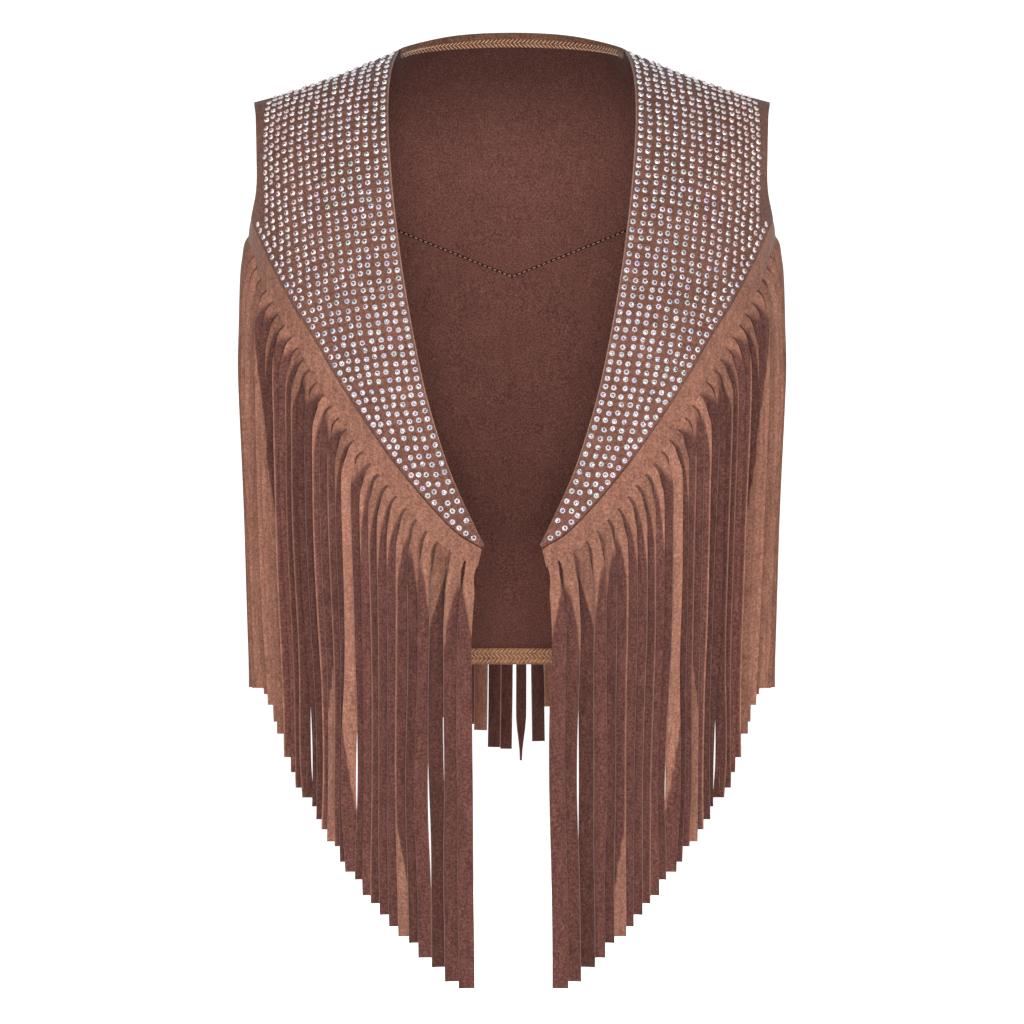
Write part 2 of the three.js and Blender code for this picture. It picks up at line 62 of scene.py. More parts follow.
Pair = tuple[float, float]
Rows = Sequence[Pair]
Colour = tuple[int, int, int]
Array = np.ndarray
Places = tuple[Array, Array]
Socket = bpy.types.NodeSocket
Material = bpy.types.Material
Piece = bpy.types.Object


class Side(Enum):
    """Hand of a piece: the wearer's left or right."""

    LEFT = 1
    RIGHT = -1

    @property
    def word(self) -> str:
        """The hand as a word in a piece's name."""
        return self.name.lower()


class Skin(IntEnum):
    """Which surface of a cut piece of suede a face belongs to. The value is its material slot."""

    FACE = 0
    REVERSE = 1
    EDGE = 2


def linear(colour: Colour) -> tuple[float, float, float, float]:
    """Turn a display colour into the linear colour that a shader takes.

    Args:
        colour: red, green and blue from 0 to 255.

    Returns:
        Linear red, green, blue and an opacity of 1.
    """
    parts = [c / 255 for c in colour]
    values = [c / 12.92 if c <= 0.04045 else ((c + 0.055) / 1.055) ** 2.4 for c in parts]
    return values[0], values[1], values[2], 1.0


def smoothstep(value: Array, low: float, high: float) -> Array:
    """Ease from 0 at `low` to 1 at `high`.

    Args:
        value: the values to ease.
        low: where the result is 0.
        high: where the result is 1.

    Returns:
        The eased shares.
    """
    t = np.clip((np.asarray(value, float) - low) / (high - low), 0, 1)
    return t * t * (3 - 2 * t)


def reach_along(path: Array) -> Array:
    """Measure how far along a path its points lie.

    Args:
        path: points in order, one a row.

    Returns:
        Distances from the first point.
    """
    return np.concatenate([[0], np.cumsum(np.linalg.norm(np.diff(path, axis=0), axis=1))])


def unit(vectors: Array) -> Array:
    """Scale vectors to a length of 1.

    Args:
        vectors: an array whose last axis holds x, y and z.

    Returns:
        The unit vectors.
    """
    return vectors / np.linalg.norm(vectors, axis=-1, keepdims=True)


def turned(vectors: Array, axes: Array, angle: Array) -> Array:
    """Turn vectors about unit axes.

    Args:
        vectors: the vectors to turn, an axis apart for each.
        axes: unit axes, one for each vector.
        angle: angles in radians.

    Returns:
        The turned vectors.
    """
    c = np.cos(angle)[..., None]
    s = np.sin(angle)[..., None]
    along = (axes * vectors).sum(-1, keepdims=True)
    return vectors * c + np.cross(axes, vectors) * s + axes * along * (1 - c)


class Curve:
    """Smooth line through the rows of a short table, by cubic Hermite pieces."""

    def __init__(self, rows: Rows) -> None:
        """Take the table.

        Args:
            rows: pairs of a place and the value there, in either order of place.
        """
        ordered = sorted(rows)
        self.at = np.array([row[0] for row in ordered], float)
        self.value = np.array([row[1] for row in ordered], float)
        wide_at = np.concatenate([self.at[:1], self.at, self.at[-1:]])
        wide_value = np.concatenate([self.value[:1], self.value, self.value[-1:]])
        self.slope = (wide_value[2:] - wide_value[:-2]) / (wide_at[2:] - wide_at[:-2])

    def __call__(self, place: Array | float) -> Array:
        """Read the line.

        Args:
            place: where to read it; beyond the table's ends it keeps their values.

        Returns:
            The values at those places.
        """
        x = np.clip(np.asarray(place, float), self.at[0], self.at[-1])
        i = np.clip(np.searchsorted(self.at, x) - 1, 0, len(self.at) - 2)
        run = self.at[i + 1] - self.at[i]
        t = (x - self.at[i]) / run
        t2 = t * t
        t3 = t2 * t
        rising = self.value[i] * (2 * t3 - 3 * t2 + 1) + self.value[i + 1] * (3 * t2 - 2 * t3)
        leaning = self.slope[i] * (t3 - 2 * t2 + t) + self.slope[i + 1] * (t3 - t2)
        return rising + leaning * run


class Outline:
    """Edge of a panel as seen from the front, read by the share of its length."""

    STEPS = 400

    def __init__(self, rows: Rows) -> None:
        """Take the edge.

        Args:
            rows: x and z along the edge, in order.
        """
        points = np.array(rows, float)
        reach = np.concatenate([[0], np.cumsum(np.hypot(*np.diff(points, axis=0).T))])
        fine = np.linspace(0, reach[-1], self.STEPS)
        self.x = Curve(list(zip(reach, points[:, 0])))(fine)
        self.z = Curve(list(zip(reach, points[:, 1])))(fine)
        steps = np.hypot(np.diff(self.x), np.diff(self.z))
        self.share = np.concatenate([[0], np.cumsum(steps)])
        self.length = float(self.share[-1])
        self.share /= self.length

    def __call__(self, share: Array) -> Places:
        """Read the edge.

        Args:
            share: shares of the edge's length.

        Returns:
            x and z there.
        """
        return np.interp(share, self.share, self.x), np.interp(share, self.share, self.z)


@dataclass(frozen=True)
class Cloth:
    """Thicknesses and clearances of the suede."""

    wall: float = 1.4
    seam_gap: float = 0.3
    trim: float = 1.2
    gaps_under_trim: float = 1.5

    @property
    def trim_level(self) -> float:
        """Height of the inner face of what lies on a panel."""
        return self.wall + self.gaps_under_trim * self.seam_gap


@dataclass(frozen=True)
class Shoulder:
    """Shoulder line from the neck point to the tip."""

    neck_x: float = 80
    neck_z: float = 17
    tip_x: float = 180
    tip_z: float = -19
    sag: float = 2.6

    @property
    def slope(self) -> float:
        """Fall of the line for each millimetre outwards."""
        return (self.neck_z - self.tip_z) / (self.tip_x - self.neck_x)


@dataclass(frozen=True)
class Neck:
    """Back neckline behind and above the neck points."""

    depth: float = 46
    rise: float = 17.5
    arch: float = 20
    fade: float = 18
    steepness: float = 2
    roundness: float = 0.6
    ease: float = 4


@dataclass(frozen=True)
class Crease:
    """One soft trough in the cloth, on both halves of the vest."""

    girth: float
    z: float
    lean: float
    length: float
    width: float
    depth: float


CLOTH = Cloth()
SHOULDER = Shoulder()
NECK = Neck()
HEM_Z = -413.5
UNDERARM_Z = -208.0
QUARTER_GIRTH = 232.0
BESIDE_SEAM = 0.02

# Horizontal sections of the form: height, half width, depth of the front and depth of the back
SECTIONS = (
    (40.0, 183.0, 96.0, 84.0),
    (-110.0, 182.0, 98.0, 91.0),
    (-215.0, 182.0, 99.0, 92.0),
    (-330.0, 178.0, 98.0, 87.0),
    (-420.0, 174.0, 97.0, 86.0),
)

# Edges as seen from the front: x and z
FRONT_EDGE = (
    (79.0, 17.3),
    (83.0, 5.0),
    (85.0, -12.0),
    (85.0, -40.0),
    (82.0, -80.0),
    (78.5, -111.0),
    (74.0, -144.0),
    (67.8, -180.0),
    (58.9, -222.6),
    (47.6, -261.5),
    (38.8, -285.4),
    (25.8, -313.4),
    (19.0, -327.0),
)
ARMHOLE_EDGE = (
    (180.0, -19.0),
    (178.0, -28.0),
    (176.4, -60.0),
    (176.0, -84.0),
    (178.2, -101.7),
)
YOKE_SEAM = (
    (178.2, -101.7),
    (175.2, -108.4),
    (165.0, -131.7),
    (155.2, -150.6),
    (145.0, -168.0),
    (132.8, -187.3),
    (122.4, -205.9),
    (108.8, -227.9),
    (94.9, -248.9),
    (82.3, -266.9),
    (65.5, -288.1),
    (51.1, -304.5),
    (36.7, -318.8),
    (20.5, -328.8),
)
LOWER_EDGE = (
    (37.0, -319.0),
    (39.0, -350.0),
    (43.0, -380.0),
    (46.0, -414.0),
)
BACK_ARMHOLE = (
    (180.0, -19.0),
    (176.5, -40.0),
    (176.0, -90.0),
    (178.0, -125.0),
)

# Soft troughs: girth place, height, lean in degrees, length, width and depth
CREASES = (
    Crease(0.93, -262, 62, 44, 11, 1.5),
    Crease(0.86, -318, 74, 52, 13, 1.2),
    Crease(1.10, -246, -58, 48, 12, 1.7),
    Crease(1.20, -300, -66, 60, 14, 1.3),
    Crease(1.07, -352, -78, 40, 10, 1.0),
    Crease(1.34, -352, -72, 66, 16, 1.1),
    Crease(1.42, -78, -24, 58, 15, 1.2),
    Crease(1.60, -60, 14, 50, 14, 0.9),
    Crease(1.72, -232, 8, 76, 20, 1.2),
    Crease(1.87, -330, -6, 64, 18, 0.9),
    Crease(0.60, -70, -20, 46, 16, 0.7),
)


class BodyForm:
    """General figure under the cloth.

    A place on it is a girth and a height. The girth is 0 at the centre front, 1 and -1 at the side
    seams and 2 and -2 at the centre back.
    """

    POWER = 3.1
    FRONT_ROUNDING = 190.0
    BACK_ROUNDING = 150.0
    REFERENCE = (184.0, 98.0, 90.0)
    TABLE_STEPS = 240
    SEARCH_STEPS = 40
    PROBE_GIRTH = 0.004
    PROBE_HEIGHT = 0.6
    CREASES_BELOW_NECK = (20, 60)
    CREASES_ABOVE_HEM = (12, 40)

    def __init__(self) -> None:
        """Work out the section curves and the girth tables."""
        self.half_width = Curve([(row[0], row[1]) for row in SECTIONS])
        self.front = Curve([(row[0], row[2]) for row in SECTIONS])
        self.back = Curve([(row[0], row[3]) for row in SECTIONS])
        self.angles = np.linspace(0, math.pi / 2, self.TABLE_STEPS + 1)
        self.front_shares = self._shares(self.REFERENCE[1])
        self.back_shares = self._shares(self.REFERENCE[2])

    def _shares(self, depth: float) -> Array:
        """Share of the quarter girth at each angle of the table.

        Args:
            depth: depth of the reference section.

        Returns:
            Shares from 0 at the centre line to 1 at the side.
        """
        r = self._radius(self.angles, self.REFERENCE[0], depth)
        steps = np.hypot(np.diff(r * np.sin(self.angles)), np.diff(r * np.cos(self.angles)))
        reach = np.concatenate([[0], np.cumsum(steps)])
        return reach / reach[-1]

    def _radius(self, angle: Array, half_width: Array | float, depth: Array | float) -> Array:
        """Radius of the superelliptic section.

        Args:
            angle: angle from the centre line.
            half_width: half width of the section.
            depth: its depth.

        Returns:
            The radii.
        """
        s = (np.abs(np.sin(angle)) / half_width) ** self.POWER
        c = (np.abs(np.cos(angle)) / depth) ** self.POWER
        return (s + c) ** (-1 / self.POWER)

    def ridge(self, x: Array) -> Array:
        """Height of the form's top.

        Args:
            x: distances from the middle plane.

        Returns:
            The shoulder seam's height, and that of a low arch between the neck points.
        """
        across = np.abs(x) / SHOULDER.neck_x
        out = np.abs(x) - SHOULDER.neck_x
        along = np.clip(out / (SHOULDER.tip_x - SHOULDER.neck_x), 0, 1)
        outer = SHOULDER.neck_z - SHOULDER.slope * out - SHOULDER.sag * 4 * along * (1 - along)
        return np.where(across < 1, SHOULDER.neck_z + NECK.arch * (1 - across**2), outer)

    def back_top(self, x: Array) -> Places:
        """Top edge of the back.

        Args:
            x: distances from the middle plane.

        Returns:
            y and z of the shoulder seam or the neckline.
        """
        a = np.clip(np.abs(x) / SHOULDER.neck_x, 0, 1)
        y = NECK.depth * np.sqrt(1 - a * a)
        z = SHOULDER.neck_z + NECK.rise * (1 - a**NECK.steepness) ** NECK.roundness
        return y, np.where(a >= 1, self.ridge(x), z)

    @staticmethod
    def _rounding(drop: Array, over: float) -> Array:
        """Rounding from the form's top down to its full depth.

        Args:
            drop: depths below the top.
            over: the depth at which it is full.

        Returns:
            Shares from 0 at the top to 1 below.
        """
        left = 1 - np.clip(drop / over, 0, 1)
        return np.sqrt(1 - left * left)

    @staticmethod
    def _eased(drop: Array, x: Array) -> Array:
        """Depths below the form's top, eased where the neckline stands above it.

        Args:
            drop: depths below the top.
            x: distances from the middle plane.

        Returns:
            The eased depths.
        """
        across = np.clip(np.abs(x) / SHOULDER.neck_x, 0, 1)
        ease = NECK.ease * (1 - across**2)
        return (drop + np.sqrt(drop * drop + ease * ease)) / 2

    def _flat_place(self, share: Array, z: Array, front: Array) -> Places:
        """Section point before the shoulder's rounding.

        Args:
            share: shares of the quarter girth from the centre line.
            z: heights.
            front: whether each is on the front.

        Returns:
            Distance from the middle plane and depth.
        """
        front_angle = np.interp(share, self.front_shares, self.angles)
        back_angle = np.interp(share, self.back_shares, self.angles)
        angle = np.where(front, front_angle, back_angle)
        depth = np.where(front, self.front(z), self.back(z))
        r = self._radius(angle, self.half_width(z), depth)
        return r * np.sin(angle), r * np.cos(angle)

    def point(self, girth: Array, z: Array) -> Array:
        """Points of the form.

        Args:
            girth: girth places.
            z: heights.

        Returns:
            x, y and z on the last axis.
        """
        girth, z = np.broadcast_arrays(np.asarray(girth, float), np.asarray(z, float))
        front = np.abs(girth) <= 1
        share = np.where(front, np.abs(girth), np.maximum(0, 2 - np.abs(girth)))
        out, full = self._flat_place(share, z, front)
        x = np.sign(girth) * out
        drop = self.ridge(x) - z
        top_y, top_z = self.back_top(x)
        top_drop = self._eased(self.ridge(x) - top_z, x)
        at_top = full * self._rounding(top_drop, self.BACK_ROUNDING)
        stand = (top_y - at_top) * np.exp(-np.maximum(0, top_z - z) / NECK.fade)
        back_y = full * self._rounding(self._eased(drop, x), self.BACK_ROUNDING) + stand
        y = np.where(front, -full * self._rounding(drop, self.FRONT_ROUNDING), back_y)
        return np.stack([x, y, z], -1)

    def girth_at(self, x: Array, z: Array, front: bool) -> Array:
        """Girth places of points given by their distance from the middle plane.

        Args:
            x: distances from the middle plane, signed by side.
            z: heights.
            front: whether they are on the front.

        Returns:
            Signed girth places.
        """
        x, z = np.broadcast_arrays(np.asarray(x, float), np.asarray(z, float))
        low = np.zeros_like(x)
        high = np.ones_like(x)
        which = np.full(x.shape, front)
        for _ in range(self.SEARCH_STEPS):
            middle = (low + high) / 2
            short = self._flat_place(middle, z, which)[0] < np.abs(x)
            low = np.where(short, middle, low)
            high = np.where(short, high, middle)
        return np.where(x < 0, -1, 1) * (low if front else 2 - low)

    def local(self, girth: Array, z: Array) -> tuple[Array, Array, Array]:
        """Local frame of the form.

        Args:
            girth: girth places.
            z: heights.

        Returns:
            Unit vectors along the girth, unit vectors outwards, and millimetres for each unit of
            girth.
        """
        girth, z = np.broadcast_arrays(np.asarray(girth, float), np.asarray(z, float))
        ahead = self.point(girth + self.PROBE_GIRTH, z)
        across = ahead - self.point(girth - self.PROBE_GIRTH, z)
        scale = np.linalg.norm(across, axis=-1) / (2 * self.PROBE_GIRTH)
        down = self.point(girth, z - self.PROBE_HEIGHT) - self.point(girth, z)
        along = unit(across)
        return along, unit(np.cross(down, along)), scale

    def creased(self, girth: Array, z: Array) -> Array:
        """Depth of the soft troughs.

        Args:
            girth: girth places.
            z: heights.

        Returns:
            Distances outwards, below zero in a trough.
        """
        total = np.zeros(np.broadcast(girth, z).shape)
        for row in CREASES:
            across = (np.abs(girth) - row.girth) * QUARTER_GIRTH
            fall = row.z - z
            lean = math.radians(row.lean)
            along = across * math.sin(lean) + fall * math.cos(lean)
            aside = across * math.cos(lean) - fall * math.sin(lean)
            trough = np.exp(-((aside / row.width) ** 2) - (along / row.length) ** 2)
            total -= row.depth * trough
        z = np.asarray(z, float)
        edge = smoothstep(SHOULDER.neck_z - z, *self.CREASES_BELOW_NECK)
        hem = smoothstep(z - HEM_Z, *self.CREASES_ABOVE_HEM)
        return total * edge * hem

    def off(self, girth: Array, z: Array, offset: Array | float) -> Array:
        """Points outside the form, with the cloth's creases.

        Args:
            girth: girth places.
            z: heights.
            offset: distances outwards.

        Returns:
            x, y and z on the last axis.
        """
        out = self.local(girth, z)[1]
        level = np.asarray(offset, float) + self.creased(girth, z)
        return self.point(girth, z) + out * level[..., None]


class PieceMesh:
    """Points, faces and finishes of one piece, gathered before it becomes an object."""

    def __init__(self) -> None:
        """Start with nothing."""
        self.points: list[Array] = []
        self.faces: list[list[int]] = []
        self.slots: list[int] = []
        self.tones: list[float] = []
        self.turns: list[float] = []
        self.count = 0

    def add(self, points: Array, faces: Array, slots: Array | int) -> None:
        """Add loose points and faces.

        Args:
            points: points in millimetres, one a row.
            faces: point numbers of each face, one face a row.
            slots: material slot of each face, or of all.
        """
        self.points.append(points)
        self.faces.extend((faces + self.count).tolist())
        self.slots.extend(np.broadcast_to(slots, len(faces)).tolist())
        self.count += len(points)

    def add_shell(
        self,
        inner: Array,
        outer: Array,
        rims: Sequence[int | Array],
        lip: bool = False,
    ) -> None:
        """Add a closed wall between two grids of points.

        Args:
            inner: inner points, rows by columns.
            outer: outer points, in the same order.
            rims: material slots of the first row's rim, the last row's, the first column's and the
                last column's, each one slot or one for each face.
            lip: whether the cut edge turns onto the face along the first column.
        """
        rows, columns = inner.shape[:2]
        number = np.arange(2 * rows * columns).reshape(2, rows, columns)
        low, high = number
        faces = [
            _quads(high[:-1, :-1], high[1:, :-1], high[1:, 1:], high[:-1, 1:]),
            _quads(low[:-1, :-1], low[:-1, 1:], low[1:, 1:], low[1:, :-1]),
            _quads(low[0, :-1], high[0, :-1], high[0, 1:], low[0, 1:]),
            _quads(high[-1, :-1], low[-1, :-1], low[-1, 1:], high[-1, 1:]),
            _quads(low[:-1, 0], low[1:, 0], high[1:, 0], high[:-1, 0]),
            _quads(high[:-1, -1], high[1:, -1], low[1:, -1], low[:-1, -1]),
        ]
        skin = np.full((rows - 1, columns - 1), int(Skin.FACE))
        if lip:
            skin[:, 0] = Skin.EDGE
        kinds = [skin.ravel(), Skin.REVERSE, *rims]
        slots = np.concatenate([np.broadcast_to(k, len(f)) for f, k in zip(faces, kinds)])
        quads = np.concatenate(faces)
        points = np.concatenate([inner.reshape(-1, 3), outer.reshape(-1, 3)])
        a, b, c, d = (points[quads[:, i]] for i in range(4))
        volume = (a * np.cross(b, c)).sum() + (a * np.cross(c, d)).sum()
        if volume < 0:
            quads = quads[:, ::-1]
        self.add(points, quads, slots)

    def build(self, name: str, finishes: Sequence[Material], crease: float = 40.0) -> Piece:
        """Make the object.

        Args:
            name: the piece's name.
            finishes: its materials, in the order of the slots.
            crease: angle in degrees above which an edge stays sharp, or 0 for flat faces.

        Returns:
            The new object, in the scene.
        """
        mesh = bpy.data.meshes.new(name)
        mesh.from_pydata((np.concatenate(self.points) * MM).tolist(), [], self.faces)
        for finish in finishes:
            mesh.materials.append(finish)
        mesh.polygons.foreach_set("material_index", self.slots)
        if crease > 0:
            mesh.shade_smooth()
            mesh.set_sharp_from_angle(angle=math.radians(crease))
        mesh.update()
        made = bpy.data.objects.new(name, mesh)
        bpy.context.scene.collection.objects.link(made)
        return made

    def mark(self, tone: float, turned: Array | float = 0.0) -> None:
        """Mark everything added since the last call.

        Args:
            tone: factor on the finish's colour.
            turned: 0 where a shell shows its face, 1 where it has turned over and 0.5 on the line
                between, one value or a grid like the shell's.
        """
        self.tones.extend([tone] * (len(self.faces) - len(self.tones)))
        missing = self.count - len(self.turns)
        grid = np.ravel(turned)
        self.turns.extend(np.tile(grid, missing // len(grid)).tolist())

    def paint_marks(self, piece: Piece) -> None:
        """Keep the marks in the finished piece.

        Args:
            piece: the object made from this mesh.
        """
        data = piece.data
        totals = np.zeros(len(data.polygons), np.int32)
        data.polygons.foreach_get("loop_total", totals)
        corners = np.zeros(len(data.loops), np.int32)
        data.loops.foreach_get("vertex_index", corners)
        tones = np.repeat(np.array(self.tones), totals)
        turns = np.array(self.turns)[corners]
        layer = data.color_attributes.new("marks", "FLOAT_COLOR", "CORNER")
        whole = np.stack([tones, turns, np.zeros_like(tones), np.ones_like(tones)], 1)
        layer.data.foreach_set("color", whole.ravel().astype(np.float32))

    @property
    def area(self) -> float:
        """Area of one of a shell's two skins, in square millimetres."""
        points = np.concatenate(self.points)
        faces = [f for f, s in zip(self.faces, self.slots) if s == Skin.FACE]
        corners = points[np.array(faces)]
        across = np.cross(corners[:, 2] - corners[:, 0], corners[:, 3] - corners[:, 1])
        return float(np.linalg.norm(across, axis=1).sum() / 2)


def _quads(a: Array, b: Array, c: Array, d: Array) -> Array:
    """Join four arrays of point numbers into four-sided faces.

    Args:
        a: first corners.
        b: second corners.
        c: third corners.
        d: fourth corners.

    Returns:
        One face a row.
    """
    return np.stack([a.ravel(), b.ravel(), c.ravel(), d.ravel()], 1)


class NodeBoard:
    """A material's nodes, with short calls that add and join them."""

    def __init__(self, name: str) -> None:
        """Make the material.

        Args:
            name: its name.
        """
        self.material = bpy.data.materials.new(name)
        self.material.use_nodes = True
        self.tree = self.material.node_tree
        self.shader = self.tree.nodes["Principled BSDF"]

    def set(self, **values: float | tuple[float, ...]) -> None:
        """Set the shader's own sockets.

        Args:
            **values: socket names, with _ for a space, and their values.
        """
        for name, value in values.items():
            self.shader.inputs[name.replace("_", " ")].default_value = value

    def place(self, stretch: tuple[float, float, float] = (1, 1, 1)) -> Socket:
        """Give the object's own coordinates, stretched.

        Args:
            stretch: factors along x, y and z.

        Returns:
            The coordinates.
        """
        source = self.tree.nodes.new("ShaderNodeTexCoord")
        mapping = self.tree.nodes.new("ShaderNodeMapping")
        mapping.inputs["Scale"].default_value = stretch
        self.tree.links.new(source.outputs["Object"], mapping.inputs["Vector"])
        return mapping.outputs["Vector"]

    def rise(self, low: float, high: float) -> Socket:
        """Tell how high a point of the object lies.

        Args:
            low: height where the answer is 0, in metres.
            high: height where the answer is 1, in metres.

        Returns:
            The share of the way up.
        """
        split = self.tree.nodes.new("ShaderNodeSeparateXYZ")
        self.tree.links.new(self.place(), split.inputs["Vector"])
        span = self.tree.nodes.new("ShaderNodeMapRange")
        span.interpolation_type = "SMOOTHSTEP"
        span.inputs["From Min"].default_value = low
        span.inputs["From Max"].default_value = high
        self.tree.links.new(split.outputs["Z"], span.inputs["Value"])
        return span.outputs["Result"]

    def noise(self, place: Socket, size: float, detail: float, rough: float) -> Socket:
        """Add a noise.

        Args:
            place: its coordinates.
            size: size of its largest grains in millimetres.
            detail: number of finer layers.
            rough: strength of the finer layers.

        Returns:
            The noise, about 0.5 on average.
        """
        node = self.tree.nodes.new("ShaderNodeTexNoise")
        node.inputs["Scale"].default_value = 1 / (size * MM)
        node.inputs["Detail"].default_value = detail
        node.inputs["Roughness"].default_value = rough
        self.tree.links.new(place, node.inputs["Vector"])
        return node.outputs["Fac"]

    def mark(self, channel: str) -> Socket:
        """Read one of a mesh's marks.

        Args:
            channel: Red for the tone and Green for the turn.

        Returns:
            The mark.
        """
        source = self.tree.nodes.new("ShaderNodeVertexColor")
        source.layer_name = "marks"
        parts = self.tree.nodes.new("ShaderNodeSeparateColor")
        self.tree.links.new(source.outputs["Color"], parts.inputs["Color"])
        return parts.outputs[channel]

    def ramp(self, value: Socket, stops: Sequence[tuple[float, tuple[float, ...]]]) -> Socket:
        """Turn a value into a colour.

        Args:
            value: the value.
            stops: places and linear colours.

        Returns:
            The colour.
        """
        node = self.tree.nodes.new("ShaderNodeValToRGB")
        elements = node.color_ramp.elements
        while len(elements) < len(stops):
            elements.new(0.5)
        for element, (place, colour) in zip(elements, stops):
            element.position = place
            element.color = colour
        self.tree.links.new(value, node.inputs["Fac"])
        return node.outputs["Color"]

    def blend(
        self,
        first: Socket,
        second: Socket | tuple[float, ...],
        share: Socket | float,
        kind: str = "MIX",
    ) -> Socket:
        """Mix two colours.

        Args:
            first: the colour at share 0.
            second: the colour at share 1, or one fixed colour.
            share: how much of the second.
            kind: blend type.

        Returns:
            The mixed colour.
        """
        node = self.tree.nodes.new("ShaderNodeMix")
        node.data_type = "RGBA"
        node.blend_type = kind
        inputs = [s for s in node.inputs if s.type == "RGBA"]
        self.tree.links.new(first, inputs[0])
        self._feed(second, inputs[1])
        self._feed(share, node.inputs["Factor"])
        return next(s for s in node.outputs if s.type == "RGBA")

    def _feed(self, value: Socket | object, socket: Socket) -> None:
        """Link a socket or set it.

        Args:
            value: an output socket or a plain value.
            socket: the input that takes it.
        """
        if isinstance(value, Socket):
            self.tree.links.new(value, socket)
        else:
            socket.default_value = value

    def bump(self, height: Socket, depth: float, strength: float) -> None:
        """Raise the surface in the shading.

        Args:
            height: the height map.
            depth: its full depth in millimetres.
            strength: how much of it shows.
        """
        node = self.tree.nodes.new("ShaderNodeBump")
        node.inputs["Strength"].default_value = strength
        node.inputs["Distance"].default_value = depth * MM
        self.tree.links.new(height, node.inputs["Height"])
        self.tree.links.new(node.outputs["Normal"], self.shader.inputs["Normal"])

    def colour(self, value: Socket) -> None:
        """Give the shader its colour.

        Args:
            value: the colour.
        """
        self.tree.links.new(value, self.shader.inputs["Base Color"])


@dataclass(frozen=True)
class Suede:
    """Napped finish of one side of the cloth."""

    name: str
    dark: Colour
    middle: Colour
    light: Colour
    grain: float = 1.5
    streak: float = 3.0
    patch: float = 26.0
    patch_strength: float = 0.22
    streak_strength: float = 0.16
    nap: float = 0.35
    sheen: float = 0.25
    marked: bool = False
    # painted shade: when set, the colour darkens towards the top of the piece by height alone
    painted_shade_at_top: bool = False
    other: tuple[Colour, ...] = ()

    FIRST_STOP = 0.34
    STOP_STEP = 0.16
    NAP_DEPTH = 0.35
    RAGGEDNESS = 0.25
    TURN_LINE = ((0.38, (0, 0, 0, 1)), (0.64, (1, 1, 1, 1)))
    STREAK_STRETCH = (1, 1, 0.22)
    STREAK_TONES = ((0.36, (0.62, 0.6, 0.6, 1)), (0.64, (1.3, 1.28, 1.26, 1)))
    PATCH_TONES = ((0.35, (0.55, 0.52, 0.52, 1)), (0.65, (1.35, 1.34, 1.3, 1)))
    # heights in metres and tones of the painted shade towards a piece's top
    PAINTED_SHADE_HEIGHTS = (-0.07, 0.03)
    PAINTED_SHADE_TONES = ((0, (1, 1, 1, 1)), (1, (0.38, 0.36, 0.37, 1)))

    def build(self) -> Material:
        """Make the material.

        Returns:
            A nap of fine grains with brushed streaks and soft patches, with painted shade towards the
            top where asked.
        """
        board = NodeBoard(self.name)
        place = board.place()
        grain = board.noise(place, self.grain, detail=4, rough=0.62)
        colour = board.ramp(grain, self._stops((self.dark, self.middle, self.light)))
        if self.other:
            ragged = board.blend(board.mark("Green"), grain, self.RAGGEDNESS)
            line = board.ramp(ragged, self.TURN_LINE)
            colour = board.blend(colour, board.ramp(grain, self._stops(self.other)), line)
        stretched = board.place(self.STREAK_STRETCH)
        streaks = board.noise(stretched, self.streak, detail=3, rough=0.55)
        shade = board.ramp(streaks, self.STREAK_TONES)
        colour = board.blend(colour, shade, self.streak_strength, "MULTIPLY")
        patches = board.noise(place, self.patch, detail=3, rough=0.5)
        tone = board.ramp(patches, self.PATCH_TONES)
        colour = board.blend(colour, tone, self.patch_strength, "MULTIPLY")
        if self.marked:
            colour = board.blend(colour, board.mark("Red"), 1.0, "MULTIPLY")
        # painted shade: darken the colour towards the top of the piece, by height alone
        if self.painted_shade_at_top:
            top = board.ramp(board.rise(*self.PAINTED_SHADE_HEIGHTS), self.PAINTED_SHADE_TONES)
            colour = board.blend(colour, top, 1.0, "MULTIPLY")
        board.colour(colour)
        board.bump(grain, self.NAP_DEPTH, self.nap)
        board.set(Roughness=0.92, Specular_IOR_Level=0.12)
        board.set(Sheen_Weight=self.sheen, Sheen_Roughness=0.45)
        return board.material

    def _stops(self, colours: Sequence[Colour]) -> list[tuple[float, tuple[float, ...]]]:
        """Spread three colours over the grain.

        Args:
            colours: the dark, the middle and the light one.

        Returns:
            Places and linear colours.
        """
        return [
            (self.FIRST_STOP + self.STOP_STEP * k, linear(colour))
            for k, colour in enumerate(colours)
        ]


@dataclass(frozen=True)
class Thread:
    """Spun sewing thread."""

    name: str
    colour: Colour
    shade: Colour
    twist: float = 0.45
    depth: float = 0.1

    def build(self) -> Material:
        """Make the material.

        Returns:
            A thread with fine light and dark turns.
        """
        board = NodeBoard(self.name)
        twist = board.noise(board.place(), self.twist, detail=2, rough=0.5)
        stops = [(0.38, linear(self.shade)), (0.62, linear(self.colour))]
        board.colour(board.ramp(twist, stops))
        board.bump(twist, self.depth, strength=0.4)
        board.set(Roughness=0.7, Specular_IOR_Level=0.3, Sheen_Weight=0.2)
        return board.material


@dataclass(frozen=True)
class Crystal:
    """Foiled glass of a flat-backed stone, tinted stone by stone."""

    name: str
    colour: Colour
    metallic: float
    roughness: float
    cloud: float = 0.9

    CLOUD_TONES = ((0.3, (0.86, 0.84, 0.86, 1)), (0.7, (1, 1, 1, 1)))

    def build(self) -> Material:
        """Make the material.

        Returns:
            A clear gloss over the foil, with each facet's tint.
        """
        board = NodeBoard(self.name)
        tint = board.tree.nodes.new("ShaderNodeVertexColor")
        tint.layer_name = "tint"
        cloud = board.noise(board.place(), self.cloud, detail=2, rough=0.5)
        tone = board.ramp(cloud, self.CLOUD_TONES)
        shade = board.blend(tone, linear(self.colour), 1.0, "MULTIPLY")
        board.colour(board.blend(shade, tint.outputs["Color"], 1.0, "MULTIPLY"))
        board.set(Metallic=self.metallic, Roughness=self.roughness, IOR=1.55)
        board.set(Coat_Weight=1.0, Coat_Roughness=0.04)
        return board.material


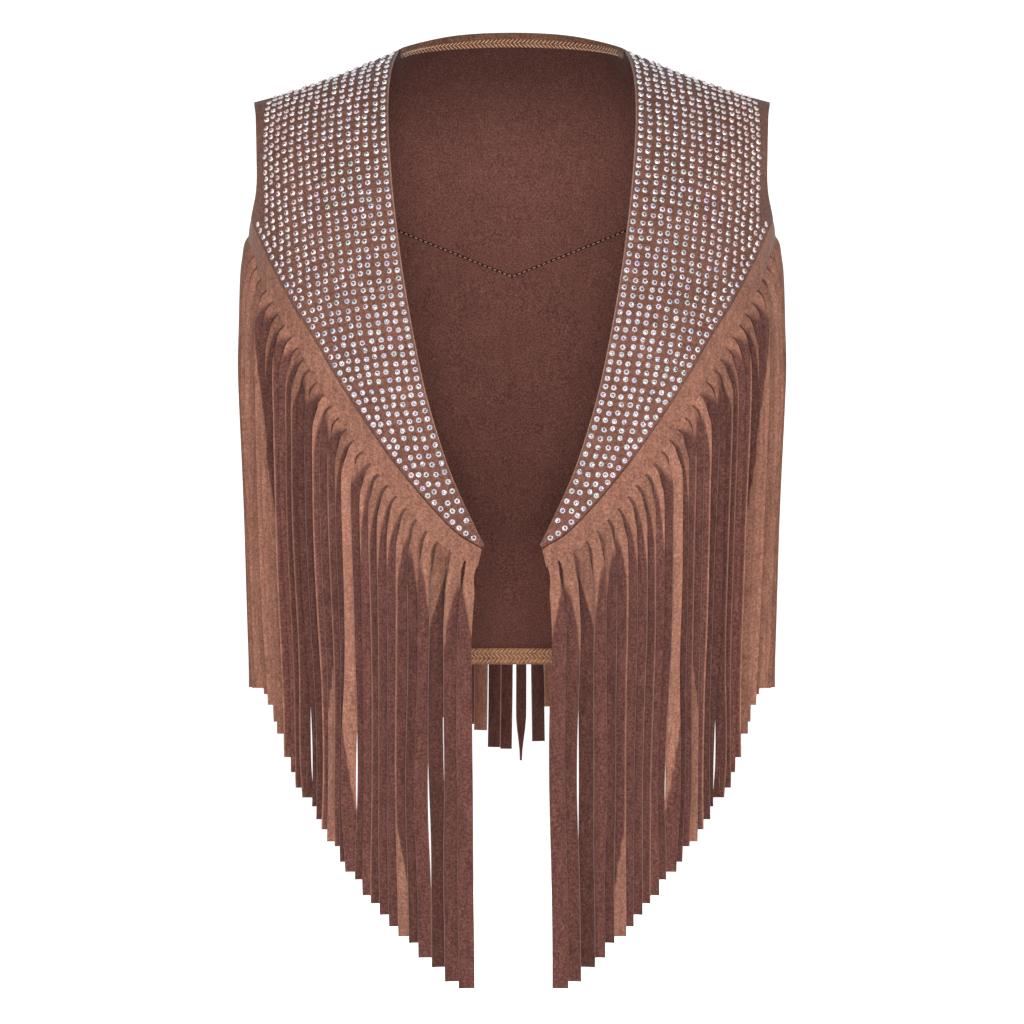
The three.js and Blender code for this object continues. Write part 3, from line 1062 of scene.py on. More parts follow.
@dataclass(frozen=True)
class Finishes:
    """Every material of the vest."""

    face: Material
    reverse: Material
    edge: Material
    fringe_face: Material
    fringe_reverse: Material
    fringe_edge: Material
    turned: Material
    hem: Material
    overlock: Material
    topstitch: Material
    groove_shade: Material
    facet: Material
    table: Material

    @classmethod
    def make(cls) -> Finishes:
        """Make them all.

        Returns:
            The finishes.
        """
        light = ((122, 81, 65), (146, 101, 84), (168, 121, 104))
        dark = ((74, 45, 40), (95, 60, 54), (116, 77, 69))
        looks = {
            "face": Suede("suede_face", (95, 62, 52), (119, 81, 69), (142, 101, 87)),
            # the reverse carries painted shade, darker near the top of the vest
            "reverse": Suede(
                "suede_reverse", (86, 53, 48), (110, 71, 63), (134, 92, 82),
                grain=1.05, patch_strength=0.12, sheen=0.12, painted_shade_at_top=True,
            ),
            "edge": Suede(
                "cut_edge", (120, 88, 76), (150, 116, 104), (176, 144, 132), grain=0.8
            ),
            "fringe_face": Suede(
                "fringe_face", *light,
                patch_strength=0.12, streak_strength=0.4, marked=True, other=dark,
            ),
            "fringe_reverse": Suede(
                "fringe_reverse", *dark,
                grain=1.0, streak_strength=0.42, sheen=0.12, marked=True, other=light,
            ),
            "fringe_edge": Suede(
                "fringe_edge", (134, 101, 87), (160, 127, 112), (182, 150, 136),
                grain=0.8, marked=True,
            ),
            "turned": Suede("turned_edge", (80, 53, 41), (105, 72, 55), (128, 91, 71)),
            "hem": Suede("hem_band", (134, 93, 68), (166, 118, 88), (192, 144, 112)),
            "overlock": Thread("overlock_thread", (248, 202, 162), (176, 130, 98)),
            "topstitch": Thread("topstitch_thread", (206, 158, 130), (150, 108, 88)),
            # the groove's dark colour is painted shade in the pressed line
            "groove_shade": Suede("stitch_groove", (38, 22, 20), (50, 31, 28), (62, 40, 36)),
            "facet": Crystal("crystal_facet", (250, 246, 250), 1.0, 0.16),
            # the table's dark colour is a painted reflection of dark surroundings in the foiled stone
            "table": Crystal("crystal_table_dark_reflection", (70, 56, 62), 0.3, 0.08),
        }
        return cls(**{name: look.build() for name, look in looks.items()})

    @property
    def suede(self) -> list[Material]:
        """Materials of a panel, in the order of its skins."""
        return [self.face, self.reverse, self.edge]

    @property
    def fringe(self) -> list[Material]:
        """Materials of a fringe trim, in the order of its skins."""
        return [self.fringe_face, self.fringe_reverse, self.fringe_edge]


def put_on(piece: Piece, node: str | None) -> Piece:
    """Let a piece ride on the vest, hide the solid that it replaces and report it.

    Args:
        piece: the piece.
        node: the solid that it replaces, or None.

    Returns:
        The same piece.
    """
    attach(piece, "root")
    if node is not None:
        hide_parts(node)
    LOG.info("%s: %d faces", piece.name, len(piece.data.polygons))
    return piece


def declare_sheet(
    piece: Piece,
    area: float,
    flat: Pair,
) -> None:
    """Log the cut of a piece that is a sheet of cloth.

    Args:
        piece: the piece.
        area: flat area of its cut in square millimetres.
        flat: width and length of the cut in millimetres.
    """
    LOG.info("%s: cut %.0f by %.0f mm, %.0f square mm", piece.name, *flat, area)


@dataclass
class StitchRun:
    """A run of short threads laid on a surface, made as one joined mesh."""

    length: float = 2.5
    thickness: float = 0.55
    sides: int = 6
    bow: float = 0.25
    lift: float = 0.7

    def add(self, mesh: PieceMesh, start: Array, end: Array, out: Array) -> None:
        """Add one thread for each pair of ends.

        Args:
            mesh: the mesh that takes them.
            start: where each thread leaves the cloth, one a row.
            end: where it enters again.
            out: unit vectors away from the cloth.
        """
        stations = np.array([0.0, 0.12, 0.5, 0.88, 1.0])
        girth = np.array([0.35, 0.85, 1.0, 0.85, 0.35])
        rise = np.array([-0.35, 0.25, 0.5, 0.25, -0.35])
        course = unit(end - start)
        side = unit(np.cross(out, course))
        turn = np.linspace(0, 2 * math.pi, self.sides, endpoint=False)
        rings = []
        for share, wide, high in zip(stations, girth, rise):
            arched = out * high * (self.thickness + self.bow) * self.lift
            centre = start + (end - start) * share + arched
            reach = wide * self.thickness / 2
            ring = [
                centre + side * math.cos(a) * reach + out * math.sin(a) * reach for a in turn
            ]
            rings.append(np.stack(ring, 1))
        points = np.stack(rings, 1)
        count, levels, sides = points.shape[:3]
        number = np.arange(count * levels * sides).reshape(count, levels, sides)
        around = np.roll(number, -1, axis=2)
        walls = _quads(number[:, :-1], around[:, :-1], around[:, 1:], number[:, 1:])
        first = mesh.count
        mesh.add(points.reshape(-1, 3), walls, 0)
        for level, flip in ((0, -1), (levels - 1, 1)):
            cap = number[:, level, ::flip] + first
            mesh.faces.extend(cap.tolist())
            mesh.slots.extend([0] * count)


@dataclass
class BackPanel:
    """One-piece back from the shoulder seams and the neckline to the hem."""

    form: BodyForm
    finishes: Finishes
    rows: int = 96
    columns: int = 64
    armhole_curve: float = 2.2
    turn_share: float = 0.026
    neck_share: float = 0.021
    turn_thickness: float = 1.0
    blur: int = 5
    rows_near_top: tuple[float, ...] = (0.003, 0.006, 0.01)
    cut: Pair = (520, 450)
    turn_allowance: Pair = (1.02, 1.12)
    taper_power: float = 2.2
    thread_lean: float = 0.55
    fine_steps: int = 400

    def edge(self, z: Array) -> Array:
        """Outer girth place of the back.

        Args:
            z: heights.

        Returns:
            Its armhole edge above the underarm, and the side seam below.
        """
        scale = self.form.local(1 + BESIDE_SEAM, UNDERARM_Z)[2]
        seam = 1 + CLOTH.seam_gap / 2 / scale
        turn_x, turn_z = BACK_ARMHOLE[-1]
        start = self.form.girth_at(turn_x, turn_z, False)
        width = Curve([(row[1], row[0]) for row in BACK_ARMHOLE])
        upper = self.form.girth_at(width(z), z, False)
        past = np.clip((turn_z - z) / (turn_z - UNDERARM_Z), 0, 1)
        between = start + (seam - start) * (1 - np.sqrt(1 - past**self.armhole_curve))
        return np.where(z <= UNDERARM_Z, seam, np.where(z >= turn_z, upper, between))

    def place(self, column: Array, row: Array) -> Places:
        """Place on the back.

        Args:
            column: 0 at the centre, 1 at the wearer's left edge and -1 at the right.
            row: 0 at the top and 1 at the hem.

        Returns:
            Signed girth and height.
        """
        column, row = np.broadcast_arrays(np.asarray(column, float), np.asarray(row, float))
        top_x = np.abs(column) * SHOULDER.tip_x
        top_z = self.form.back_top(top_x)[1]
        z = top_z + (HEM_Z - top_z) * row
        edge_z = SHOULDER.tip_z + (HEM_Z - SHOULDER.tip_z) * row
        whole = 2 - self.form.girth_at(SHOULDER.tip_x, SHOULDER.tip_z, False)
        across = (2 - self.form.girth_at(top_x, top_z, False)) / whole
        girth = 2 - across * (2 - self.edge(edge_z))
        return np.where(column < 0, -1, 1) * girth, z

    def grid(self, columns: Array, rows: Array, offset: float) -> Array:
        """Grid of points at an offset from the back's inner face.

        Args:
            columns: signed columns.
            rows: row shares, one for each row or one for each point.
            offset: distance outwards.

        Returns:
            Points, rows by columns.
        """
        girth, z = self.place(columns[None, :], rows)
        out = self.form.local(girth, z)[1]
        wide = np.pad(out, ((0, 0), (self.blur, self.blur), (0, 0)), mode="edge")
        count = out.shape[1]
        out = unit(sum(wide[:, k : k + count] for k in range(2 * self.blur + 1)))
        level = offset + self.form.creased(girth, z)
        points = self.form.point(girth, z) + out * level[..., None]
        points[..., 1] = np.maximum(points[..., 1], CLOTH.seam_gap / 2)
        return points

    def build(self) -> Piece:
        """Build the back.

        Returns:
            The panel.
        """
        fine = np.linspace(0, 1, self.rows)
        rows = np.unique(np.concatenate([self.rows_near_top, fine]))
        columns = np.linspace(-1, 1, 2 * self.columns + 1)
        mesh = PieceMesh()
        inner = self.grid(columns, rows[:, None], 0)
        outer = self.grid(columns, rows[:, None], CLOTH.wall)
        mesh.add_shell(inner, outer, [Skin.FACE, Skin.FACE, Skin.EDGE, Skin.EDGE])
        piece = put_on(mesh.build("back_panel", self.finishes.suede), "back")
        declare_sheet(piece, mesh.area, self.cut)
        return piece

    def turned(
        self,
        name: str,
        node: str,
        rows: Array,
        reach: float,
        finish: Material,
        taper: float = 0.0,
    ) -> Piece:
        """Build an edge of the back that is turned over to the inside.

        Args:
            name: the piece's name.
            node: the solid that it replaces.
            rows: row shares that it covers.
            reach: how far out it goes, as a share of the back's half width.
            finish: the turned cloth's material.
            taper: how much narrower it is at its ends, as a share of its height.

        Returns:
            The turned edge.
        """
        columns = np.linspace(-reach, reach, 2 * self.columns + 1)
        rows = rows[:, None] * self.narrowed(columns, reach, taper)[None, :]
        mesh = PieceMesh()
        level = -CLOTH.seam_gap
        inner = self.grid(columns, rows, level - self.turn_thickness)
        outer = self.grid(columns, rows, level)
        mesh.add_shell(inner, outer, [Skin.EDGE, Skin.EDGE, Skin.EDGE, Skin.EDGE])
        materials = [self.finishes.reverse, finish, finish]
        piece = put_on(mesh.build(name, materials), node)
        length = float(reach_along(inner[0])[-1]) * self.turn_allowance[0]
        height = float(reach_along(inner[:, 0])[-1]) * self.turn_allowance[1]
        declare_sheet(piece, mesh.area, (length, height))
        return piece

    def narrowed(self, columns: Array, reach: float, taper: float) -> Array:
        """How a turned edge narrows towards its ends.

        Args:
            columns: signed columns.
            reach: how far out it goes.
            taper: how much narrower it is at its ends.

        Returns:
            Shares of its height.
        """
        return 1 - taper * np.clip(np.abs(columns) / reach, 0, 1) ** self.taper_power

    def overlock(
        self,
        name: str,
        at: Sequence[float],
        reach: float,
        rows: int,
        pitch: float,
        height: float,
        taper: float = 0.0,
        thickness: float = 0.95,
    ) -> Piece:
        """Build rows of slanting overlock threads on a turned edge.

        Args:
            name: the piece's name.
            at: row shares of the band's first and last thread row.
            reach: how far out it goes, as a share of the back's half width.
            rows: number of thread rows.
            pitch: distance from one thread to the next.
            height: height of one row of threads.
            taper: how much narrower the edge is at its ends, as a share of its height.
            thickness: thickness of a thread.

        Returns:
            The overlocking.
        """
        mesh = PieceMesh()
        stitch = StitchRun(thickness=thickness, bow=0.2)
        level = -CLOTH.seam_gap - self.turn_thickness
        fine = np.linspace(-reach, reach, self.fine_steps)
        narrow = self.narrowed(fine, reach, taper)
        for line in range(rows):
            share = at[0] + (at[1] - at[0]) * line / max(rows - 1, 1)
            girth, z = self.place(fine, share * narrow)
            run = reach_along(self.form.off(girth, z, level))
            spots = np.arange(pitch / 2, run[-1] - pitch, pitch)
            lean = pitch * self.thread_lean * (1 if line % 2 else -1)
            from_centre = self._recounted(girth)
            low = self._recounted(np.interp(spots + lean, run, from_centre))
            high = self._recounted(np.interp(spots - lean, run, from_centre))
            mid_z = np.interp(spots, run, z)
            half = height / 2 * np.interp(spots, run, narrow)
            start = self.form.off(low, mid_z - half, level)
            end = self.form.off(high, mid_z + half, level)
            out = -self.form.local(low, mid_z)[1]
            stitch.add(mesh, start, end, out)
        piece = mesh.build(name, [self.finishes.overlock], crease=80)
        return put_on(piece, None)

    @staticmethod
    def _recounted(girth: Array) -> Array:
        """Count the back's signed girth places from its centre instead, or back again.

        Args:
            girth: girth places, or counts from the centre back that rise to the wearer's left.

        Returns:
            The same places, counted the other way.
        """
        return np.where(girth >= 0, 2 - girth, -2 - girth)


@dataclass
class Yoke:
    """Front yoke from the shoulder seam to its tip, with its crystals."""

    form: BodyForm
    finishes: Finishes
    side: Side
    rows: int = 110
    columns: int = 30
    lap: float = 40.0
    lip: float = 0.7
    sag_over: float = 0.15
    cut: Pair = (122, 385)

    def __post_init__(self) -> None:
        """Work out the yoke's edges."""
        self.front_edge = Outline(FRONT_EDGE)
        self.armhole = Outline(ARMHOLE_EDGE)
        self.seam = Outline(YOKE_SEAM)
        self.seam_height = Curve(YOKE_SEAM)
        self.corner = self.armhole.length / (self.armhole.length + self.seam.length)

    def level(self, x: Array, z: Array) -> Array:
        """How far the yoke lies off the form: it rises onto the trim near the seam.

        Args:
            x: distances from the middle plane.
            z: heights.

        Returns:
            Offsets of its inner face.
        """
        above = np.maximum(0, z - self.seam_height(np.abs(x)))
        return smoothstep(self.lap - above, 0, self.lap) * CLOTH.trim_level

    def outer_edge(self, t: Array) -> Places:
        """Armhole edge and then yoke seam.

        Args:
            t: shares of their length together.

        Returns:
            x and z.
        """
        arm_x, arm_z = self.armhole(np.clip(t / self.corner, 0, 1))
        seam_x, seam_z = self.seam(np.clip((t - self.corner) / (1 - self.corner), 0, 1))
        upper = t <= self.corner
        return np.where(upper, arm_x, seam_x), np.where(upper, arm_z, seam_z)

    def grid(self, offset: float) -> Array:
        """Grid of points at an offset from the yoke's inner face.

        Args:
            offset: distance outwards.

        Returns:
            Points, rows by columns.
        """
        upper = np.linspace(0, self.corner, self.rows // 3)
        lower = np.linspace(self.corner, 1, self.rows - self.rows // 3 + 1)[1:]
        t = np.concatenate([upper, lower])
        edge_x, edge_z = self.front_edge(t)
        out_x, out_z = self.outer_edge(t)
        wide = np.hypot(out_x - edge_x, out_z - edge_z)
        lip = np.minimum(self.lip / np.maximum(wide, 1), 0.5 / self.columns)
        u = np.repeat(np.linspace(0, 1, self.columns)[None, :], len(t), 0)
        u = np.insert(u, 1, lip, axis=1)
        x = edge_x[:, None] + (out_x - edge_x)[:, None] * u
        z = edge_z[:, None] + (out_z - edge_z)[:, None] * u
        neck_x, neck_z = FRONT_EDGE[0]
        line = np.interp(x, [neck_x, SHOULDER.tip_x], [neck_z, SHOULDER.tip_z])
        sag = np.maximum(0, line - self.form.ridge(x))
        z = z - sag * (1 - smoothstep(t, 0, self.sag_over))[:, None]
        girth = self.side.value * self.form.girth_at(x, z, True)
        points = self.form.off(girth, z, offset + self.level(x, z))
        points[..., 1] = np.minimum(points[..., 1], -CLOTH.seam_gap / 2)
        return points

    def build(self, stones: Piece) -> Piece:
        """Build the yoke.

        Args:
            stones: the crystals glued on it; not used.

        Returns:
            The panel.
        """
        mesh = PieceMesh()
        rims = [Skin.FACE, Skin.FACE, Skin.EDGE, Skin.EDGE]
        mesh.add_shell(self.grid(0), self.grid(CLOTH.wall), rims, lip=True)
        made = mesh.build(f"yoke_{self.side.word}", self.finishes.suede)
        piece = put_on(made, f"front_yoke_{self.side.word}")
        declare_sheet(piece, mesh.area, self.cut)
        return piece


@dataclass
class CrystalField:
    """Flat-backed crystals on a yoke, in columns along its front edge and one row along its seam."""

    yoke: Yoke
    radius: float = 2.08
    girdle: float = 0.4
    height: float = 1.25
    table: float = 0.5
    facets: int = 8
    column_pitch: float = 6.35
    row_pitch: float = 5.75
    seam_spread: float = 1.06
    tip_spread: float = 0.3
    edge_margin: float = 3.6
    armhole_margin: float = 6.6
    seam_margin: float = 3.1
    seam_clearance: float = 2.2
    shoulder_margin: float = 3.0
    top_margin: float = 0.4
    still_below_top: float = 7.0
    nearest: float = 5.0
    closest: float = 4.2
    push: float = 0.45
    jitter: float = 0.85
    held_jitter: float = 0.35
    calming: float = 1.5
    probe: float = 0.4
    settling: int = 12
    columns: int = 16
    seed: int = 11
    tilt: float = 0.05

    SEAM_SPAN = (0.012, 0.985)
    TIP_HEIGHTS = (220, 320)
    WHITE = (1.0, 0.98, 1.0)
    CREAM = (0.98, 0.84, 0.78)
    HUES = ((0.80, 0.86, 1.0), (0.93, 0.80, 1.0), (0.84, 1.0, 0.86), (1.0, 0.82, 0.86))
    WARM_OUT = (96, 170)
    WARM_UP = (-220, -70)
    WARMTH = 0.9
    HUED_STONES = 0.42
    HUE_STRENGTH = (0.25, 1.0)
    # painted shade: stones high on the yoke are darkened
    TOP_SHADE_HEIGHTS = (-290, -160)
    TOP_SHADE_STRENGTH = 0.12
    STONE_TONES = (0.74, 1.0)
    FACET_TONES = (0.84, 1.0)
    # painted reflections: a share of facets is darkened as if they reflected dark surroundings
    DARK_REFLECTION_SHARE = 0.13
    DARK_REFLECTION_TONES = (0.35, 0.7)

    def places(self, rng: np.random.Generator) -> Places:
        """Lay the stones out on the yoke.

        Args:
            rng: source of the small unevenness.

        Returns:
            Girth places of the wearer's left, and heights.
        """
        runs = [self._seam_row()]
        runs += [self._column(k) for k in range(self.columns)]
        held = np.concatenate([np.full(len(run[0]), k < 2) for k, run in enumerate(runs)])
        girth = np.concatenate([run[0] for run in runs])
        z = np.concatenate([run[1] for run in runs])
        loose = np.where(held, self.held_jitter, 1.0)
        girth = girth + rng.uniform(-1, 1, len(girth)) * self.jitter * loose / QUARTER_GIRTH
        form = self.yoke.form
        fall = form.point(girth, z) - form.point(girth, z - self.probe)
        steps = np.linalg.norm(fall, axis=-1) / self.probe
        calmed = np.maximum(steps, 1) ** self.calming
        z = z + rng.uniform(-1, 1, len(z)) * self.jitter * loose / calmed
        top = form.ridge(form.point(girth, z)[..., 0])
        for _ in range(self.settling):
            girth, z = self._pushed_apart(girth, z, ~held & (top - z > self.still_below_top))
            z = np.minimum(z, top - self.top_margin)
        points = form.point(girth, z)
        kept: list[int] = []
        for i, place in enumerate(points):
            if abs(place[1]) < self.shoulder_margin:
                continue
            if kept and np.linalg.norm(points[kept] - place, axis=1).min() < self.closest:
                continue
            kept.append(i)
        return girth[kept], z[kept]

    def _pushed_apart(self, girth: Array, z: Array, free: Array) -> Places:
        """Push stones that stand too close a little apart.

        Args:
            girth: girth places.
            z: heights.
            free: which stones may move.

        Returns:
            The new places.
        """
        form = self.yoke.form
        points = form.point(girth, z)
        along, _, scale = form.local(girth, z)
        half_step = 0.5
        fall = form.point(girth, z + half_step) - form.point(girth, z - half_step)
        gap = points[:, None] - points[None]
        from_itself = 1000 * np.eye(len(z))
        far = np.linalg.norm(gap, axis=-1) + from_itself
        push = np.maximum(0, self.nearest - far) / far * self.push
        move = (gap * push[..., None]).sum(1) * free[:, None]
        girth = girth + (move * along).sum(1) / scale
        z = z + np.clip((move * fall).sum(1) / (fall * fall).sum(1), -1, 1)
        return girth, z

    def _seam_row(self) -> Places:
        """Row of stones along the yoke seam.

        Returns:
            Girth places and heights.
        """
        form = self.yoke.form
        x, z = self.yoke.seam(np.linspace(*self.SEAM_SPAN, 600))
        dx, dz = np.gradient(x), np.gradient(z)
        size = np.hypot(dx, dz)
        x = x + dz / size * self.seam_margin
        z = z - dx / size * self.seam_margin
        girth = form.girth_at(x, z, True)
        pitch = np.full(len(z), self.row_pitch * self.seam_spread)
        return self._spaced(girth, z, pitch, first=0.5)

    def _column(self, k: int) -> Places:
        """Column of stones parallel to the front edge.

        Args:
            k: number of the column, 0 next to the edge.

        Returns:
            Girth places and heights.
        """
        form = self.yoke.form
        x, z = self.yoke.front_edge(np.linspace(0, 1, 700))
        slope = np.gradient(x) / np.minimum(np.gradient(z), -1e-6)
        girth = form.girth_at(x, z, True)
        scale = form.local(girth, z)[2]
        away = self.edge_margin + k * self.column_pitch
        girth = girth + away / scale * np.sqrt(1 + np.clip(slope, -1, 1) ** 2)
        x = np.abs(form.point(girth, z)[..., 0])
        z = z - np.maximum(0, z - form.ridge(x) + 0.5)
        pitch = self.row_pitch * (1 + self.tip_spread * smoothstep(-z, *self.TIP_HEIGHTS))
        girth, z = self._spaced(girth, z, pitch, first=0.5 if k % 2 else 1.0)
        return self._inside(girth, z)

    def _spaced(self, girth: Array, z: Array, pitch: Array, first: float) -> Places:
        """Pick even steps along a path on the form.

        Args:
            girth: girth places of the path.
            z: its heights.
            pitch: distance between picks at each point of it.
            first: place of the first pick, in steps.

        Returns:
            Girth places and heights of the picks.
        """
        points = self.yoke.form.point(girth, z)
        steps = np.linalg.norm(np.diff(points, axis=0), axis=1)
        count = np.concatenate([[0], np.cumsum(steps / pitch[1:])])
        picks = np.arange(first, count[-1], 1.0)
        return np.interp(picks, count, girth), np.interp(picks, count, z)

    def _inside(self, girth: Array, z: Array) -> Places:
        """Drop the places outside the yoke's margins.

        Args:
            girth: girth places.
            z: heights.

        Returns:
            The places that stay.
        """
        form = self.yoke.form
        points = form.point(girth, z)
        x = points[..., 0]
        seam_x, seam_z = self.yoke.seam(np.linspace(0, 1, 500))
        near = np.hypot(x[:, None] - seam_x, z[:, None] - seam_z).min(1)
        above = z - self.yoke.seam_height(x)
        arm_x = Curve([(row[1], row[0]) for row in ARMHOLE_EDGE])(z)
        arm = (form.girth_at(arm_x, z, True) - girth) * form.local(girth, z)[2]
        top = form.ridge(x) - z
        ridge = np.stack([np.zeros_like(x), form.ridge(x)], -1)
        shoulder = np.linalg.norm(points[..., 1:] - ridge, axis=-1)
        keep = (near > self.seam_margin + self.seam_clearance) & (above > 0) & (top > 0.2)
        keep &= (shoulder > self.shoulder_margin) & (arm > self.armhole_margin)
        return girth[keep], z[keep]

    def build(self) -> Piece:
        """Build the crystals of one yoke as one joined mesh.

        Returns:
            The crystals.
        """
        rng = np.random.default_rng(self.seed)
        girth, z = self.places(rng)
        side = self.yoke.side.value
        form = self.yoke.form
        x = form.point(girth, z)[..., 0]
        glue = 0.02
        base = form.off(side * girth, z, CLOTH.wall + glue + self.yoke.level(x, z))
        along, out, _ = form.local(side * girth, z)
        tilt = rng.normal(0, self.tilt, (len(z), 3))
        out = unit(out + tilt)
        across = unit(np.cross(out, np.cross(along, out)))
        spin = rng.uniform(0, 2 * math.pi, len(z))
        across = turned(across, out, spin)
        aside = np.cross(out, across)
        mesh, faces_each = self._stones(base, across, aside, out, rng)
        materials = [self.yoke.finishes.facet, self.yoke.finishes.table]
        piece = mesh.build(f"crystals_{self.yoke.side.word}", materials, crease=0)
        self._tint(piece, x, z, faces_each, rng)
        LOG.info("%s: %d stones", piece.name, len(z))
        return put_on(piece, None)

    def _stones(
        self,
        base: Array,
        across: Array,
        aside: Array,
        out: Array,
        rng: np.random.Generator,
    ) -> tuple[PieceMesh, int]:
        """Make all stones from their places.

        Args:
            base: middle of each stone's back.
            across: unit vectors across it.
            aside: unit vectors at a right angle to those.
            out: unit vectors away from the cloth.
            rng: picks the table facet of each stone that takes the bright facet finish as a painted
                glint.

        Returns:
            The mesh, and how many faces a stone has.
        """
        turn = np.linspace(0, 2 * math.pi, self.facets, endpoint=False)
        half = math.pi / self.facets
        back, waist = self.radius * 0.94, self.radius * 0.8
        waist_height, point_height = self.girdle + self.height * 0.36, self.height * 1.02
        levels = (
            (back, 0.0, 0.0),
            (self.radius, self.girdle, 0.0),
            (waist, waist_height, half),
            (self.radius * self.table, self.height, 0.0),
        )
        rings = []
        for reach, high, twist in levels:
            ring = [
                base
                + across * math.cos(a + twist) * reach
                + aside * math.sin(a + twist) * reach
                + out * high
                for a in turn
            ]
            rings.append(np.stack(ring, 1))
        rings.append((base + out * point_height)[:, None])
        points = np.concatenate(rings, 1)
        n, f = self.facets, np.arange(self.facets)
        g = (f + 1) % n
        wall = np.stack([f, g, g + n, f + n], 1)
        kite_low = np.stack([f + n, g + n, f + 2 * n], 1)
        kite_high = np.stack([f + 2 * n, g + n, g + 2 * n], 1)
        star_low = np.stack([f + 2 * n, g + 2 * n, g + 3 * n], 1)
        star_high = np.stack([f + 3 * n, f + 2 * n, g + 3 * n], 1)
        lid = np.stack([f + 3 * n, g + 3 * n, np.full(n, 4 * n)], 1)
        # each stone's lid, its table, takes the table finish, whose dark colour is a painted
        # reflection
        groups = ((wall, 0), (kite_low, 0), (kite_high, 0), (star_low, 0), (star_high, 0), (lid, 1))
        stride = points.shape[1]
        mesh = PieceMesh()
        flat = points.reshape(-1, 3)
        mesh.points.append(flat)
        mesh.count = len(flat)
        # painted glint: one triangle of each table takes the bright facet finish
        painted_glint = rng.integers(0, n, len(base))
        for i in range(len(base)):
            start = i * stride
            for group, kind in groups:
                mesh.faces.extend((group + start).tolist())
                mesh.slots.extend([kind] * n)
            mesh.slots[-n + int(painted_glint[i])] = 0
            mesh.faces.append((start + np.arange(n)[::-1]).tolist())
            mesh.slots.append(0)
        return mesh, len(groups) * n + 1

    def _tint(
        self,
        piece: Piece,
        x: Array,
        z: Array,
        faces_each: int,
        rng: np.random.Generator,
    ) -> None:
        """Tint each stone, darken the stones high on the yoke as painted shade and darken some facets
        as painted dark reflections.

        Args:
            piece: the crystals.
            x: distances of the stones from the middle plane.
            z: their heights.
            faces_each: faces of one stone.
            rng: source of the tints.
        """
        warm_out = smoothstep(x, *self.WARM_OUT)[:, None]
        warm = warm_out * smoothstep(z, *self.WARM_UP)[:, None] * self.WARMTH
        tint = np.array(self.WHITE) * (1 - warm) + np.array(self.CREAM) * warm
        hued = rng.random(len(z)) < self.HUED_STONES
        pick = np.array(self.HUES)[rng.integers(0, len(self.HUES), len(z))]
        share = rng.uniform(*self.HUE_STRENGTH, len(z))[:, None] * hued[:, None]
        tint = tint * (1 - share) + tint * pick * share
        # painted shade: darker stones towards the top of the yoke
        shade_at_top = 1 - self.TOP_SHADE_STRENGTH * smoothstep(z, *self.TOP_SHADE_HEIGHTS)
        tint = tint * (rng.uniform(*self.STONE_TONES, len(z)) * shade_at_top)[:, None]
        facet = rng.uniform(*self.FACET_TONES, (len(z), faces_each))
        # painted reflections: darken some facets at random
        dark_reflecting = rng.random(facet.shape) < self.DARK_REFLECTION_SHARE
        facet[dark_reflecting] = rng.uniform(*self.DARK_REFLECTION_TONES, int(dark_reflecting.sum()))
        colours = tint[:, None, :] * facet[..., None]
        colours = np.clip(colours.reshape(-1, 3), 0, 1)
        totals = np.zeros(len(piece.data.polygons), np.int32)
        piece.data.polygons.foreach_get("loop_total", totals)
        corners = np.repeat(colours, totals, axis=0)
        layer = piece.data.color_attributes.new("tint", "FLOAT_COLOR", "CORNER")
        whole = np.concatenate([corners, np.ones((len(corners), 1))], 1)
        layer.data.foreach_set("color", whole.ravel().astype(np.float32))


@dataclass
class LowerFront:
    """Front below the yoke, mostly behind the fringe."""

    form: BodyForm
    finishes: Finishes
    side: Side
    rows: int = 44
    seam_columns: int = 46
    arm_columns: int = 14
    seam_drop: float = 0.8
    armhole_curve: float = 2.2
    seam_start: float = 1 / 15
    cut: Pair = (215, 315)

    def grid(self, offset: float) -> Array:
        """Grid of points at an offset from the panel's inner face.

        Args:
            offset: distance outwards.

        Returns:
            Points, rows by columns.
        """
        seam = Outline(YOKE_SEAM)
        x, z = seam(1 - np.linspace(self.seam_start, 1, self.seam_columns))
        under_girth = self.form.girth_at(x, z, True)
        under_z = z - self.seam_drop
        scale = self.form.local(1 - BESIDE_SEAM, UNDERARM_Z)[2]
        side_seam = 1 - CLOTH.seam_gap / 2 / scale
        corner = self.form.girth_at(*YOKE_SEAM[0], True)
        t = np.linspace(0, 1, self.arm_columns + 1)[1:]
        arm_girth = corner + (side_seam - corner) * t
        rise = YOKE_SEAM[0][1] - UNDERARM_Z
        arm_z = UNDERARM_Z + rise * (1 - t) ** self.armhole_curve
        top_girth = np.concatenate([under_girth, arm_girth])
        top_z = np.concatenate([under_z, arm_z])
        v = np.linspace(0, 1, self.rows)[:, None]
        z = top_z + (HEM_Z - top_z) * v
        free_x = Curve([(row[1], row[0]) for row in LOWER_EDGE])(z)
        free = self.form.girth_at(free_x, z, True)
        c = np.linspace(0, 1, len(top_z))
        even = free + c * (side_seam - free)
        ease = smoothstep(v, 0, 1)
        girth = top_girth * (1 - ease) + even * ease
        return self.form.off(self.side.value * girth, z, offset)

    def build(self) -> Piece:
        """Build the lower front.

        Returns:
            The panel.
        """
        mesh = PieceMesh()
        rims = [Skin.FACE, Skin.EDGE, Skin.EDGE, Skin.EDGE]
        mesh.add_shell(self.grid(0), self.grid(CLOTH.wall), rims)
        made = mesh.build(f"lower_front_{self.side.word}", self.finishes.suede)
        piece = put_on(made, f"front_lower_{self.side.word}")
        declare_sheet(piece, mesh.area, self.cut)
        return piece


class Measure(IntEnum):
    """What an uneven value of a strip is for. The value keeps them apart."""

    LENGTH = 0
    RIPPLE = 3
    SLIT = 5
    SWAY = 7
    SWAPPED = 8
    WIDTH = 12
    TURN_START = 20
    TIP_CURL = 31
    TONE = 43
    TILT = 50
    PINCH = 61
    CUP = 70
    TURN_SPAN = 90


@dataclass(frozen=True)
class Parting:
    """A place where neighbouring strips hang apart."""

    x: float
    z: float
    width: float


